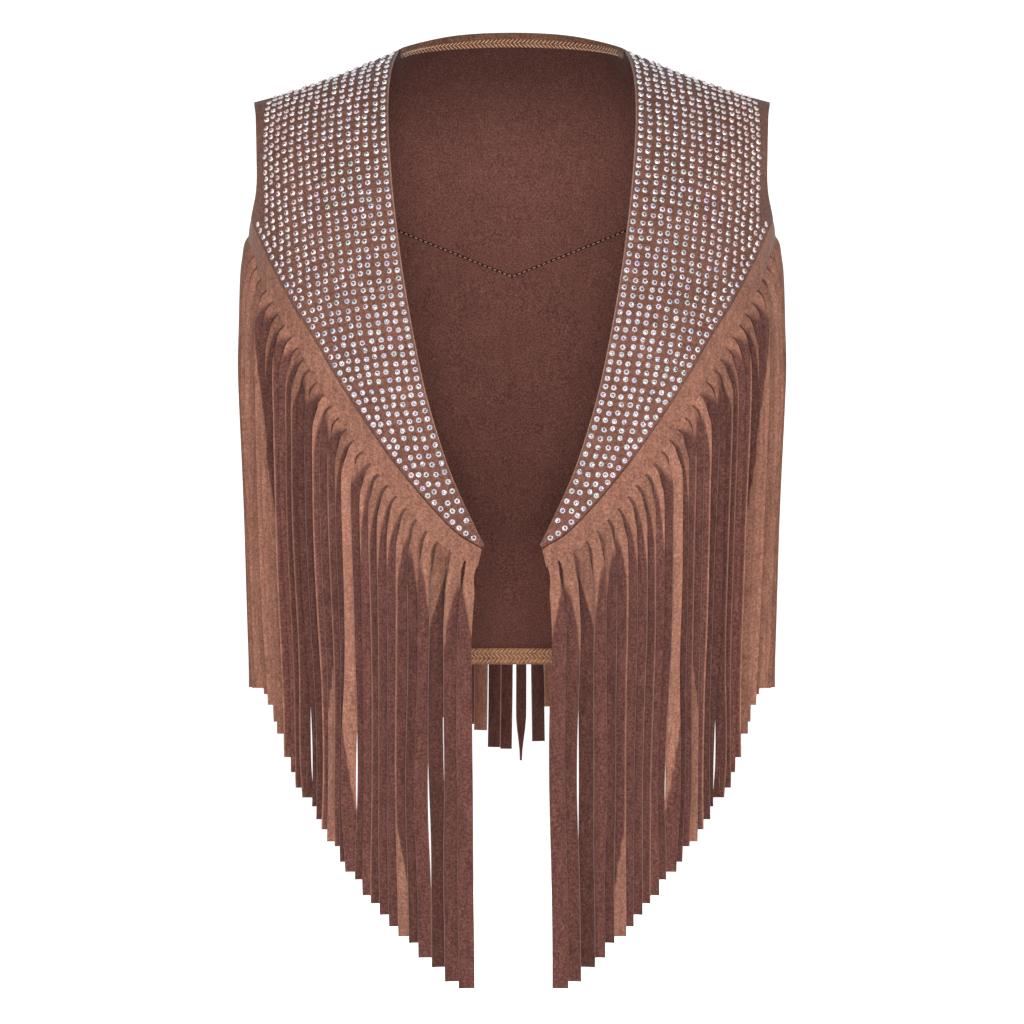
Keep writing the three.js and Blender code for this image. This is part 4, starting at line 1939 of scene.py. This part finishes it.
@dataclass
class FringeTrim:
    """Cut fringe: a header band and the strips that hang from it, in one piece of suede."""

    form: BodyForm
    finishes: Finishes
    side: Side
    name: str
    node: str
    line: Callable[[Array], Places]
    strips: int
    width: float
    end_at: Callable[[float], float]
    drift_at: Callable[[float], float]
    splay_at: Callable[[Array], Array]
    turn: int
    light: frozenset[int]
    late: dict[int, float]
    partings: Sequence[Parting] = ()
    longer: dict[int, float] = field(default_factory=dict)
    lobes: frozenset[int] = frozenset()
    pointed: frozenset[int] = frozenset()
    roll_start: float = 4.0
    roll_over: float = 8.0
    lobe_start: float = 7.0
    lobe_over: float = 28.0
    wider: dict[int, float] = field(default_factory=dict)
    darker_end: dict[int, float] = field(default_factory=dict)
    tip_start: float = 0.0
    softness: float = 12.0
    wedges: frozenset[int] = frozenset()
    swapped: frozenset[int] = frozenset()
    edged: dict[int, float] = field(default_factory=dict)
    tone_spread: float = 0.22
    inward: float = 0.0
    tilt_tip: float = 12.0
    cover: float = 0.0
    slit: float = 1.7
    header: float = 14.0
    inset: float = 1.0
    stand_off: float = 6.0
    settle: float = 12.0
    bend: float = 8.0
    tilt: float = 30.0
    stagger: float = 3.0
    drift_growth: float = 1.5
    across: int = 5
    areas: list[float] = field(default_factory=list)

    PAST_END = 2.0
    TURN_SLANT = 30.0
    TURN_SHARPNESS = 12.0
    NEAR_TIP = (0.5, 0.85)
    LOBE_BOW = 2.4
    WEDGE_SPAN = 0.6
    EDGED_DOWN = (10, 30)
    FINE_STEP = 2.5
    FINE_DOWN_TO = 75
    COARSE_STATIONS = 34
    INWARD_POWER = 8
    INWARD_DOWN = (0, 55)
    SWAY_LENGTH = 62
    SWAY_DOWN = (20, 130)
    RIPPLE = 0.9
    RIPPLE_LENGTH = 48
    RIPPLE_DOWN = (25, 120)
    TIP_CURL = 1.6
    TIP_CURL_FROM = 26
    FULL_WIDTH_DOWN = (7, 22)
    POINT_FROM = 34
    POINT_NARROWING = 0.85
    PARTING_REACH = 13
    PARTING_OPENS = (-60, 40)
    PARTING_CLOSES = (45, 110)
    PARTING_CLOSED = 0.95
    PINCH_IN = (2, 16)
    PINCH_OUT = (55, 95)
    CUP_DOWN = (4, 40)
    # painted shade: down to here a strip's side rims take the darker face finish instead of the pale
    # edge finish
    RIM_SHADE_DOWN_TO = 45

    def frames(self, share: Array) -> tuple[Array, ...]:
        """Directions of the header along the seam line.

        Args:
            share: shares of the line.

        Returns:
            Girth, height, scale, and the run across and down for each millimetre from the line.
        """
        probe = 0.5 / self.strips
        girth, z = self.line(share)
        before, z_before = self.line(np.clip(share - probe, 0, 1))
        after, z_after = self.line(np.clip(share + probe, 0, 1))
        scale = self.form.local(girth, z)[2]
        run = (after - before) * scale
        fall = z_after - z_before
        sign = np.where(run > 0, 1, -1)
        x = np.abs(self.form.point(girth, z)[..., 0])
        splay = sign * fall / np.hypot(run, fall) * self.splay_at(x)
        return girth, z, scale, splay, -np.sqrt(1 - splay * splay)

    def pitch(self, i: int) -> Pair:
        """Step of the header's lower edge from one side of a strip to the other.

        Args:
            i: number of the strip.

        Returns:
            Its signed run along the girth and its fall, in millimetres.
        """
        girth, z, scale, across, down = self.frames(np.array([i, i + 1]) / self.strips)
        low = girth + across * self.header / scale
        height = z + down * self.header
        return float((low[1] - low[0]) * scale.mean()), float(height[1] - height[0])

    @staticmethod
    def uneven(i: int, measure: Measure) -> float:
        """Repeatable value from -1 to 1 for a strip.

        Args:
            i: number of the strip.
            measure: what it is for.

        Returns:
            The value.
        """
        wave = math.sin((i + measure) * 12.9898 + 4.1) * 43758.5453
        return 2 * (wave - math.floor(wave)) - 1

    def add_header(self, mesh: PieceMesh) -> None:
        """Add the header band.

        Args:
            mesh: the trim's mesh.
        """
        share = np.linspace(0, 1, self.strips * 6 + 1)
        girth, z, scale, across, down = self.frames(share)
        distance = np.linspace(self.inset, self.header, 9)[:, None]
        g = girth + across * distance / scale
        h = z + down * distance
        wave = np.cos(share * self.strips * 2 * math.pi)
        lower = smoothstep(distance, self.header * 0.35, self.header)
        gather = -0.3 * wave * lower + 0.35 * np.sin(share * self.strips * 1.9) * lower
        low = self.form.off(g, h, CLOTH.trim_level)
        high = self.form.off(g, h, CLOTH.trim_level + CLOTH.trim + gather)
        mesh.add_shell(low, high, [Skin.EDGE, Skin.FACE, Skin.EDGE, Skin.EDGE])

    def lifted(self, i: int, s: Array) -> Array:
        """Tilt of a strip about its own length, so that it laps over its neighbour.

        Args:
            i: number of the strip.
            s: distances from the header.

        Returns:
            Angles in radians.
        """
        near_tip = i / self.strips
        shingle = self.tilt + (self.tilt_tip - self.tilt) * near_tip**2
        steady = math.radians(shingle + 8 * self.uneven(i, Measure.TILT))
        return steady * (1 - np.exp(-np.maximum(s, 0) / 4))

    def turned_over(self, i: int, s: Array, length: float) -> Array:
        """Where a strip has turned over and shows its reverse.

        Args:
            i: number of the strip.
            s: distances from the header.
            length: the strip's length.

        Returns:
            0 for the face, 1 for the reverse and 0.5 on the line between, rows by columns.
        """
        out = np.linspace(-1, 1, self.across)[None, :] * self.turn
        if i in self.light:
            end = self.darker_end.get(i, self.PAST_END) * length + self.TURN_SLANT * (1 - out)
            return np.clip(0.5 + (s[:, None] - end) / self.TURN_SHARPNESS, 0, 1)
        if i in self.swapped or self.uneven(i, Measure.SWAPPED) < -0.6:
            out = -out
        slow = i in self.lobes
        start = self.lobe_start if slow else self.roll_start
        over = self.lobe_over * (1 + (i / self.strips) ** 2) if slow else self.roll_over
        start = start * (1 + 0.5 * self.uneven(i, Measure.TURN_START)) + self.longer.get(i, 0.0)
        start += self.tip_start * smoothstep(i / self.strips, *self.NEAR_TIP)
        wedge = i in self.wedges
        over *= (1 + 0.3 * self.uneven(i, Measure.TURN_SPAN)) * (self.WEDGE_SPAN if wedge else 1.0)
        bow = self.LOBE_BOW if slow and not wedge else 1.0
        place = s[:, None]
        soft = self.TURN_SHARPNESS if wedge else self.softness
        turned = np.clip(0.5 + (place - start - over * ((1 + out) / 2) ** bow) / soft, 0, 1)
        if i in self.edged:
            outer = 0 if out[0, 0] > 0 else -1
            turned[:, outer] *= 1 - smoothstep(s, *self.EDGED_DOWN) * self.edged[i]
        if i in self.late:
            back = self.late[i] * length + self.TURN_SLANT * (1 - out)
            still = np.clip(0.5 - (place - back) / self.TURN_SHARPNESS, 0, 1)
            turned = np.minimum(turned, still)
        return turned

    def strip(self, mesh: PieceMesh, i: int) -> None:
        """Add one strip.

        Args:
            mesh: the trim's mesh.
            i: its number along the line.
        """
        middle = np.array((i + 0.5) / self.strips)
        girth, z, scale, across, down = (float(v) for v in self.frames(middle))
        root_girth = girth + across * self.header / scale
        root_z = z + down * self.header
        x = abs(float(self.form.point(root_girth, root_z)[0]))
        length = root_z - (self.end_at(x) + self.uneven(i, Measure.LENGTH) * self.stagger)
        tucked = 2.0
        fine = np.arange(self.FINE_STEP, self.FINE_DOWN_TO, self.FINE_STEP)
        coarse = np.linspace(self.FINE_DOWN_TO, length, self.COARSE_STATIONS)
        s = np.concatenate([[-tucked, 0.0], fine, coarse])
        bent = np.where(s < 0, s, self.bend * (1 - np.exp(-s / self.bend)))
        height = root_z + down * bent - (np.maximum(s, 0) - np.maximum(bent, 0))
        lean, sway = self._swung(i, s, x, length)
        outwards = (1 if root_girth > 0 else -1) * (-1 if abs(root_girth) > 1 else 1)
        aside = self._parted(x, height) * outwards
        g = root_girth + (across * bent + lean + sway + aside) / scale
        fade = np.exp(-np.maximum(s, 0) / self.bend)
        run, fall = across * fade, down * fade - (1 - fade)
        along, out, _ = self.form.local(g, height)
        course = along * run[:, None]
        course[:, 2] += fall
        course = unit(course)
        flat = unit(np.cross(out, course))
        width = turned(flat, course, self.lifted(i, s) * self.turn)
        thick = unit(np.cross(course, width))
        centre = self.form.point(g, height) + out * self._offsets(i, s, length)[:, None]
        half = self._half_widths(i, s, length, run, fall)
        self._ribbon(mesh, i, s, half, centre, width, thick)
        tone = 1 + self.tone_spread * self.uneven(i, Measure.TONE)
        mesh.mark(tone, self.turned_over(i, s, length))
        self.areas.append(self.width * (length + tucked))

    def _swung(self, i: int, s: Array, x: float, length: float) -> Places:
        """Sideways lean and sway of a strip.

        Args:
            i: the strip's number.
            s: distances from the header.
            x: the strip's distance from the middle plane.
            length: its length.

        Returns:
            Shifts along the girth that it has by its place, and by its own waves.
        """
        lean = self.drift_at(x) * np.maximum(0, s / length) ** self.drift_growth
        near_tip = (i / self.strips) ** self.INWARD_POWER
        lean = lean + self.inward * self.turn * near_tip * smoothstep(s, *self.INWARD_DOWN)
        wave = np.sin(s / self.SWAY_LENGTH + 0.33 * i + self.uneven(i, Measure.SWAY))
        return lean, wave * smoothstep(s, *self.SWAY_DOWN)

    def _offsets(self, i: int, s: Array, length: float) -> Array:
        """How far a strip hangs off the form.

        Args:
            i: the strip's number.
            s: distances from the header.
            length: its length.

        Returns:
            Distances of its middle from the form.
        """
        settled = 1 - np.exp(-np.maximum(s, 0) / self.settle)
        shift = 1.7 * self.uneven(i, Measure.RIPPLE)
        wave = np.sin(s / self.RIPPLE_LENGTH + shift + 0.5 * i)
        ripple = self.RIPPLE * wave * smoothstep(s, *self.RIPPLE_DOWN)
        at_end = smoothstep(s, length - self.TIP_CURL_FROM, length)
        offset = CLOTH.trim_level + CLOTH.trim / 2
        offset = offset + (self.stand_off - CLOTH.trim_level) * settled + ripple
        return offset + self.TIP_CURL * at_end * self.uneven(i, Measure.TIP_CURL)

    def _half_widths(self, i: int, s: Array, length: float, run: Array, fall: Array) -> Array:
        """Half width of a strip: narrow between the slits and full below them.

        Args:
            i: the strip's number.
            s: distances from the header.
            length: its length.
            run: how fast it runs along the girth there.
            fall: how fast it rises there.

        Returns:
            Half widths.
        """
        step, drop = self.pitch(i)
        apart = np.abs(step * fall - drop * run) / np.hypot(run, fall)
        cover = 0.0 if i in self.pointed else self.cover
        wide = max(self.width, abs(step) * cover + 0.9) + 0.35 * self.uneven(i, Measure.WIDTH)
        wide += self.wider.get(i, 0.0)
        root = (apart - self.slit * (1 + 0.6 * self.uneven(i, Measure.SLIT))) / 2
        full = smoothstep(s, *self.FULL_WIDTH_DOWN)
        half = root * (1 - full) + wide / 2 * full
        if i in self.pointed:
            point = smoothstep(s, length - self.POINT_FROM, length)
            half = half * (1 - self.POINT_NARROWING * point)
        return half

    def _parted(self, x: float, z: Array) -> Array:
        """Sideways shift that opens the partings.

        Args:
            x: the strip's distance from the middle plane.
            z: heights along it.

        Returns:
            Shifts outwards.
        """
        shift = np.zeros_like(z)
        for row in self.partings:
            away = x - row.x
            reach = math.exp(-abs(away) / self.PARTING_REACH) * (1 if away > 0 else -1)
            opened = smoothstep(row.z - z, *self.PARTING_OPENS)
            closed = self.PARTING_CLOSED * smoothstep(row.z - z, *self.PARTING_CLOSES)
            shift += row.width * reach * opened * (1 - closed)
        return shift

    def _ribbon(
        self,
        mesh: PieceMesh,
        i: int,
        s: Array,
        half: Array,
        centre: Array,
        width: Array,
        thick: Array,
    ) -> None:
        """Add the closed ribbon round a strip's course.

        Args:
            mesh: the trim's mesh.
            i: the strip's number.
            s: distances from the header.
            half: its half width at those distances.
            centre: points of its middle line.
            width: unit vectors across it.
            thick: unit vectors out of its face.
        """
        w = np.linspace(-1, 1, self.across)
        near_tip = i / self.strips
        size = np.where(s < 0, 0.7, 1.0)
        pinch = smoothstep(s, *self.PINCH_IN) * (1 - smoothstep(s, *self.PINCH_OUT))
        pinch = pinch * (0.6 + 0.4 * near_tip) * (0.8 + 0.2 * self.uneven(i, Measure.PINCH))
        half = half * size * (1 - 0.1 * pinch)
        cup = (0.75 + 0.35 * self.uneven(i, Measure.CUP)) * smoothstep(s, *self.CUP_DOWN)
        bowl = (w * w - 0.4)[None, :] * (cup - 2.4 * pinch)[:, None]
        middle = centre[:, None] + width[:, None] * (w[None, :] * half[:, None])[..., None]
        deep = CLOTH.trim / 2 * size
        low = middle + thick[:, None] * (bowl - deep[:, None])[..., None]
        high = middle + thick[:, None] * (bowl + deep[:, None])[..., None]
        # painted shade: near the header the side rims take the face finish, for the shade between the
        # strips' roots
        along_rim = np.where(s[1:] < self.RIM_SHADE_DOWN_TO, Skin.FACE, Skin.EDGE)
        mesh.add_shell(low, high, [Skin.EDGE, Skin.EDGE, along_rim, along_rim])

    def build(self, rests_on: Sequence[str]) -> Piece:
        """Build the trim.

        Args:
            rests_on: what it is sewn to; not used.

        Returns:
            The trim.
        """
        mesh = PieceMesh()
        self.add_header(mesh)
        mesh.mark(1.0)
        header_area = mesh.area
        for i in range(self.strips):
            self.strip(mesh, i)
        piece = put_on(mesh.build(self.name, self.finishes.fringe), self.node)
        mesh.paint_marks(piece)
        lengths = [a / self.width for a in self.areas]
        longest = max(lengths) + self.header
        slits_too, waste = 1.06, 1.02
        run = sum(self.areas) / np.mean(lengths) * slits_too
        area = header_area + sum(self.areas)
        declare_sheet(piece, area, (max(run, area / longest * waste), longest))
        return piece


@dataclass
class FrontTrims:
    """Sizes of the front fringe."""

    form: BodyForm
    finishes: Finishes
    strips: int = 30
    ends: Rows = (
        (190.0, -425.0),
        (172.0, -439.0),
        (155.0, -486.0),
        (118.0, -543.0),
        (66.0, -605.0),
        (24.0, -637.0),
    )
    partings: tuple[Parting, ...] = (
        Parting(137.0, -430.0, 3.4),
        Parting(103.0, -446.0, 3.2),
        Parting(53.0, -460.0, 1.5),
        Parting(43.5, -440.0, 1.6),
    )

    def trim(self, side: Side) -> FringeTrim:
        """Sizes of one front's trim.

        Args:
            side: which front.

        Returns:
            The trim, ready to build.
        """
        seam = Outline(YOKE_SEAM)
        ends = Curve(self.ends)

        def line(share: Array) -> Places:
            """Seam line of this front, as girth and height."""
            x, z = seam(share)
            return side.value * self.form.girth_at(x, z, True), z

        return FringeTrim(
            form=self.form,
            finishes=self.finishes,
            side=side,
            name=f"fringe_front_{side.word}",
            node=f"front_fringe_{side.word}",
            line=line,
            strips=self.strips,
            width=8.1,
            end_at=lambda x: float(ends(x + 6.4)),
            drift_at=lambda x: -side.value * 8 * (x / SHOULDER.tip_x) ** 2,
            splay_at=lambda x: 0.3 + 0.7 * smoothstep(x, 0, 75),
            turn=side.value,
            light=frozenset({0, 1, 2, 3, 4, 18}),
            late={5: 0.1, 6: 0.2, 7: 0.36, 15: 0.5, 24: 0.72},
            lobes=frozenset({7, 10, 11, 12, 14, 15, 17, 20, 21, 22, 23, 24, 25, 26, 27, 28, 29}),
            longer={27: 4.0, 29: -6.0, 11: 6.0, 14: 5.0},
            wider={18: 2.4, 24: 1.2},
            darker_end={18: 0.66},
            tip_start=11.0,
            softness=22.0,
            wedges=frozenset({11, 27, 29}),
            edged={8: 0.9, 10: 0.7, 11: 0.8, 14: 0.9, 16: 0.6, 21: 0.7, 24: 0.8, 26: 0.6},
            cover=1.1,
            swapped=frozenset({26, 29}),
            inward=3.6,
            partings=self.partings,
        )


@dataclass
class BackTrims:
    """Sizes of the back fringe."""

    form: BodyForm
    finishes: Finishes
    strips: int = 21
    centre_z: float = -136.0
    rise: float = 0.4
    reach: float = 175.0
    ends: Rows = ((0.0, -474.0), (16.0, -471.0), (24.0, -462.0), (176.0, -405.0), (200.0, -396.0))
    ends_left: Rows = (
        (0.0, -482.0), (8.0, -480.0), (14.0, -467.0), (24.0, -445.0), (176.0, -405.0), (200.0, -396.0)
    )
    drifts: Rows = ((4.0, 2.0), (12.0, 6.0), (80.0, 0.0))

    def height(self, x: Array) -> Array:
        """Height of the V line.

        Args:
            x: distances from the middle plane.

        Returns:
            Heights.
        """
        return self.centre_z + self.rise * np.abs(x)

    def trim(self, side: Side) -> FringeTrim:
        """Sizes of one half of the back's trim.

        Args:
            side: which half.

        Returns:
            The trim, ready to build.
        """
        ends = Curve(self.ends_left if side is Side.LEFT else self.ends)
        drifts = Curve(self.drifts)

        def line(share: Array) -> Places:
            """V line of this half, as girth and height."""
            x = CLOTH.seam_gap + (self.reach - CLOTH.seam_gap) * np.asarray(share, float)
            z = self.height(x)
            return side.value * self.form.girth_at(x, z, False), z

        return FringeTrim(
            form=self.form,
            finishes=self.finishes,
            side=side,
            name=f"fringe_back_{side.word}",
            node=f"back_fringe_{side.word}",
            line=line,
            strips=self.strips,
            width=7.6,
            end_at=lambda x: float(ends(x)),
            drift_at=lambda x: -float(drifts(x)) if side is Side.LEFT else 0.0,
            splay_at=lambda x: smoothstep(x, 0, 50),
            turn=-side.value,
            light=frozenset(range(self.strips)) - {2, 7, 10, 13, 16, 18},
            late={},
            pointed=frozenset({0}) if side is Side.LEFT else frozenset(),
            cover=1.05,
            roll_over=40.0,
            tilt_tip=30.0,
        )

    def topstitch(self, name: str, offset: float, drop: float, outward: int) -> Piece:
        """Build a run of topstitching along the V.

        Args:
            name: the piece's name.
            offset: distance of the cloth's surface from the form.
            drop: how far below the V line it runs.
            outward: 1 on the outside and -1 on the inside.

        Returns:
            The stitches.
        """
        mesh = PieceMesh()
        stitch = StitchRun(thickness=0.95, bow=0.15)
        pitch = 3.8
        x = np.linspace(-self.reach + 3, self.reach - 3, 900)
        z = self.height(x) - drop
        girth = self.form.girth_at(x, z, False)
        path = self.form.off(girth, z, offset)
        run = reach_along(path)
        spots = np.arange(pitch / 2, run[-1] - pitch, pitch)
        ends = []
        for shift in (0.0, stitch.length):
            ends.append(np.stack([np.interp(spots + shift, run, path[:, k]) for k in range(3)], 1))
        middle_x = np.interp(spots, run, x)
        middle_z = self.height(middle_x) - drop
        out = self.form.local(self.form.girth_at(middle_x, middle_z, False), middle_z)[1]
        stitch.add(mesh, ends[0], ends[1], out * outward)
        return put_on(mesh.build(name, [self.finishes.topstitch], crease=80), None)

    def groove_shade(self, name: str, offset: float, drop: float, outward: int) -> Piece:
        """Build the pressed line in which the topstitching lies, a thin shell in a dark finish that
        is the groove's painted shade.

        Args:
            name: the piece's name.
            offset: distance of the cloth's surface from the form.
            drop: how far below the V line it runs.
            outward: 1 on the outside and -1 on the inside.

        Returns:
            The line.
        """
        mesh = PieceMesh()
        sunk, raised, raised_at_sides = -0.06, 0.1, 0.02
        x = np.linspace(-self.reach + 2, self.reach - 2, 240)
        grids = []
        for level in (sunk, raised):
            rows = []
            for step in (-1.0, 0.0, 1.0):
                z = self.height(x) - drop + step
                girth = self.form.girth_at(x, z, False)
                lift = level if step == 0.0 or level < 0 else raised_at_sides
                rows.append(self.form.off(girth, z, offset + outward * lift))
            grids.append(np.stack(rows, 0))
        mesh.add_shell(grids[0], grids[1], [Skin.FACE] * 4)
        materials = [self.finishes.groove_shade, self.finishes.groove_shade]
        return put_on(mesh.build(name, materials, crease=80), None)


@dataclass(frozen=True)
class SoftLight:
    """A soft light that faces the vest, placed in metres."""

    name: str
    place: tuple[float, float, float]
    size: Pair
    power: float
    glossy: bool = False


@dataclass
class Studio:
    """Pale floor, soft light and the camera at the photograph's place."""

    lights: tuple[SoftLight, ...] = (
        SoftLight("left", (-1.1, -3.2, -0.4), (1.4, 1.2), 22, glossy=True),
        SoftLight("right", (1.1, -3.2, -0.4), (1.4, 1.2), 22, glossy=True),
        SoftLight("centre", (0.0, -3.3, -0.6), (0.7, 0.5), 46),
        SoftLight("low", (0.0, -2.6, -0.74), (2.0, 0.4), 20),
        SoftLight("behind", (0.0, 3.2, 0.3), (2.0, 1.2), 45),
    )
    aim: tuple[float, float, float] = (0, 0, -0.25)
    floor_z: float = -0.78
    floor_reach: float = 14.0
    distance: float = 4.0
    camera_z: float = -0.3045
    lens: float = 200.9
    world: float = 1.25
    sky: float = 0.13
    glow: float = 0.3
    shown: float = 1.0
    tint: tuple[float, float, float, float] = (1, 0.975, 0.96, 1)

    def build(self) -> None:
        """Build the studio."""
        self._camera()
        self._floor()
        self._world()
        for light in self.lights:
            self._light(light)

    def _camera(self) -> None:
        """Make the camera level with the vest's middle."""
        data = bpy.data.cameras.new("camera")
        data.lens = self.lens
        data.sensor_width = 36
        data.clip_end = 60
        camera = bpy.data.objects.new("camera", data)
        camera.location = (0, -self.distance, self.camera_z)
        camera.rotation_euler = (math.pi / 2, 0, 0)
        bpy.context.scene.collection.objects.link(camera)
        bpy.context.scene.camera = camera

    def _floor(self) -> None:
        """Make a wide pale floor."""
        half = self.floor_reach
        mesh = bpy.data.meshes.new("floor")
        corners = [(-half, -half), (half, -half), (half, half), (-half, half)]
        mesh.from_pydata([(x, y, self.floor_z) for x, y in corners], [], [(0, 1, 2, 3)])
        board = NodeBoard("studio_floor")
        grain = board.noise(board.place(), size=900, detail=2, rough=0.5)
        stops = [(0.0, (0.93, 0.93, 0.93, 1)), (1.0, (0.97, 0.97, 0.97, 1))]
        board.colour(board.ramp(grain, stops))
        board.set(Roughness=0.9, Specular_IOR_Level=0.1)
        board.set(Emission_Color=(1, 1, 1, 1))
        strength = self._seen(board.tree, "Is Diffuse Ray", self.shown, self.glow)
        board.tree.links.new(strength, board.shader.inputs["Emission Strength"])
        mesh.materials.append(board.material)
        floor = bpy.data.objects.new("floor", mesh)
        bpy.context.scene.collection.objects.link(floor)

    def _world(self) -> None:
        """Make the even, nearly white surround."""
        world = bpy.data.worlds.new("studio")
        world.use_nodes = True
        background = world.node_tree.nodes["Background"]
        background.inputs["Color"].default_value = self.tint
        strength = self._seen(world.node_tree, "Is Diffuse Ray", self.world, self.sky)
        world.node_tree.links.new(strength, background.inputs["Strength"])
        bpy.context.scene.world = world
        bpy.context.scene.view_settings.view_transform = "Standard"

    @staticmethod
    def _seen(tree: bpy.types.NodeTree, ray: str, usual: float, then: float) -> Socket:
        """Choose a strength by the kind of ray.

        Args:
            tree: node tree that gets the nodes.
            ray: output of the light path node that is asked.
            usual: strength for other rays.
            then: strength for that kind.

        Returns:
            The strength.
        """
        path = tree.nodes.new("ShaderNodeLightPath")
        mix = tree.nodes.new("ShaderNodeMix")
        mix.inputs["A"].default_value = usual
        mix.inputs["B"].default_value = then
        tree.links.new(path.outputs[ray], mix.inputs["Factor"])
        return mix.outputs["Result"]

    def _light(self, light: SoftLight) -> None:
        """Make one of the lights.

        Args:
            light: its place, size and power.
        """
        data = bpy.data.lights.new(light.name, "AREA")
        data.shape = "RECTANGLE"
        data.size, data.size_y = light.size
        data.energy = light.power
        made = bpy.data.objects.new(light.name, data)
        made.location = light.place
        made.visible_glossy = light.glossy
        away = np.array(light.place) - np.array(self.aim)
        yaw = math.atan2(away[0], -away[1])
        pitch = math.atan2(math.hypot(away[0], away[1]), away[2])
        made.rotation_euler = (pitch, 0, yaw)
        bpy.context.scene.collection.objects.link(made)


def main() -> None:
    """Build the vest and its studio, piece by piece."""
    logging.basicConfig(level=logging.INFO, format="%(message)s")
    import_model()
    Studio().build()
    form = BodyForm()
    finishes = Finishes.make()

    back = BackPanel(form, finishes)
    back.build()
    neck_reach = (SHOULDER.neck_x - 1) / SHOULDER.tip_x
    neck_rows = np.linspace(0, back.neck_share, 7)
    taper = 0.6
    back.turned("neck_edge", "neck_turn_in", neck_rows, neck_reach, finishes.turned, taper)
    back.overlock(
        "neck_overlock",
        at=(0.0112, 0.0178),
        reach=neck_reach * 0.985,
        rows=2,
        pitch=2.9,
        height=2.8,
        taper=taper,
        thickness=0.6,
    )
    hem_rows = np.linspace(1 - back.turn_share, 1, 7)
    back.turned("hem_edge", "hem_turn_up", hem_rows, 1.0, finishes.hem)
    back.overlock(
        "hem_overlock", at=(0.9785, 0.9935), reach=0.99, rows=3, pitch=3.0, height=3.1
    )

    for side in Side:
        yoke = Yoke(form, finishes, side)
        stones = CrystalField(yoke).build()
        yoke.build(stones)
        LowerFront(form, finishes, side).build()

    fronts = FrontTrims(form, finishes)
    backs = BackTrims(form, finishes)
    for side in Side:
        fronts.trim(side).build([f"yoke_{side.word}", f"lower_front_{side.word}"])
        backs.trim(side).build(["back_panel"])
    backs.topstitch("topstitch_inside", offset=0.0, drop=0.0, outward=-1)
    backs.groove_shade("stitch_line_inside", offset=0.0, drop=0.0, outward=-1)
    header_face = CLOTH.trim_level + CLOTH.trim
    backs.topstitch("topstitch_outside", offset=header_face, drop=3.5, outward=1)


if __name__ == "__main__":
    main()
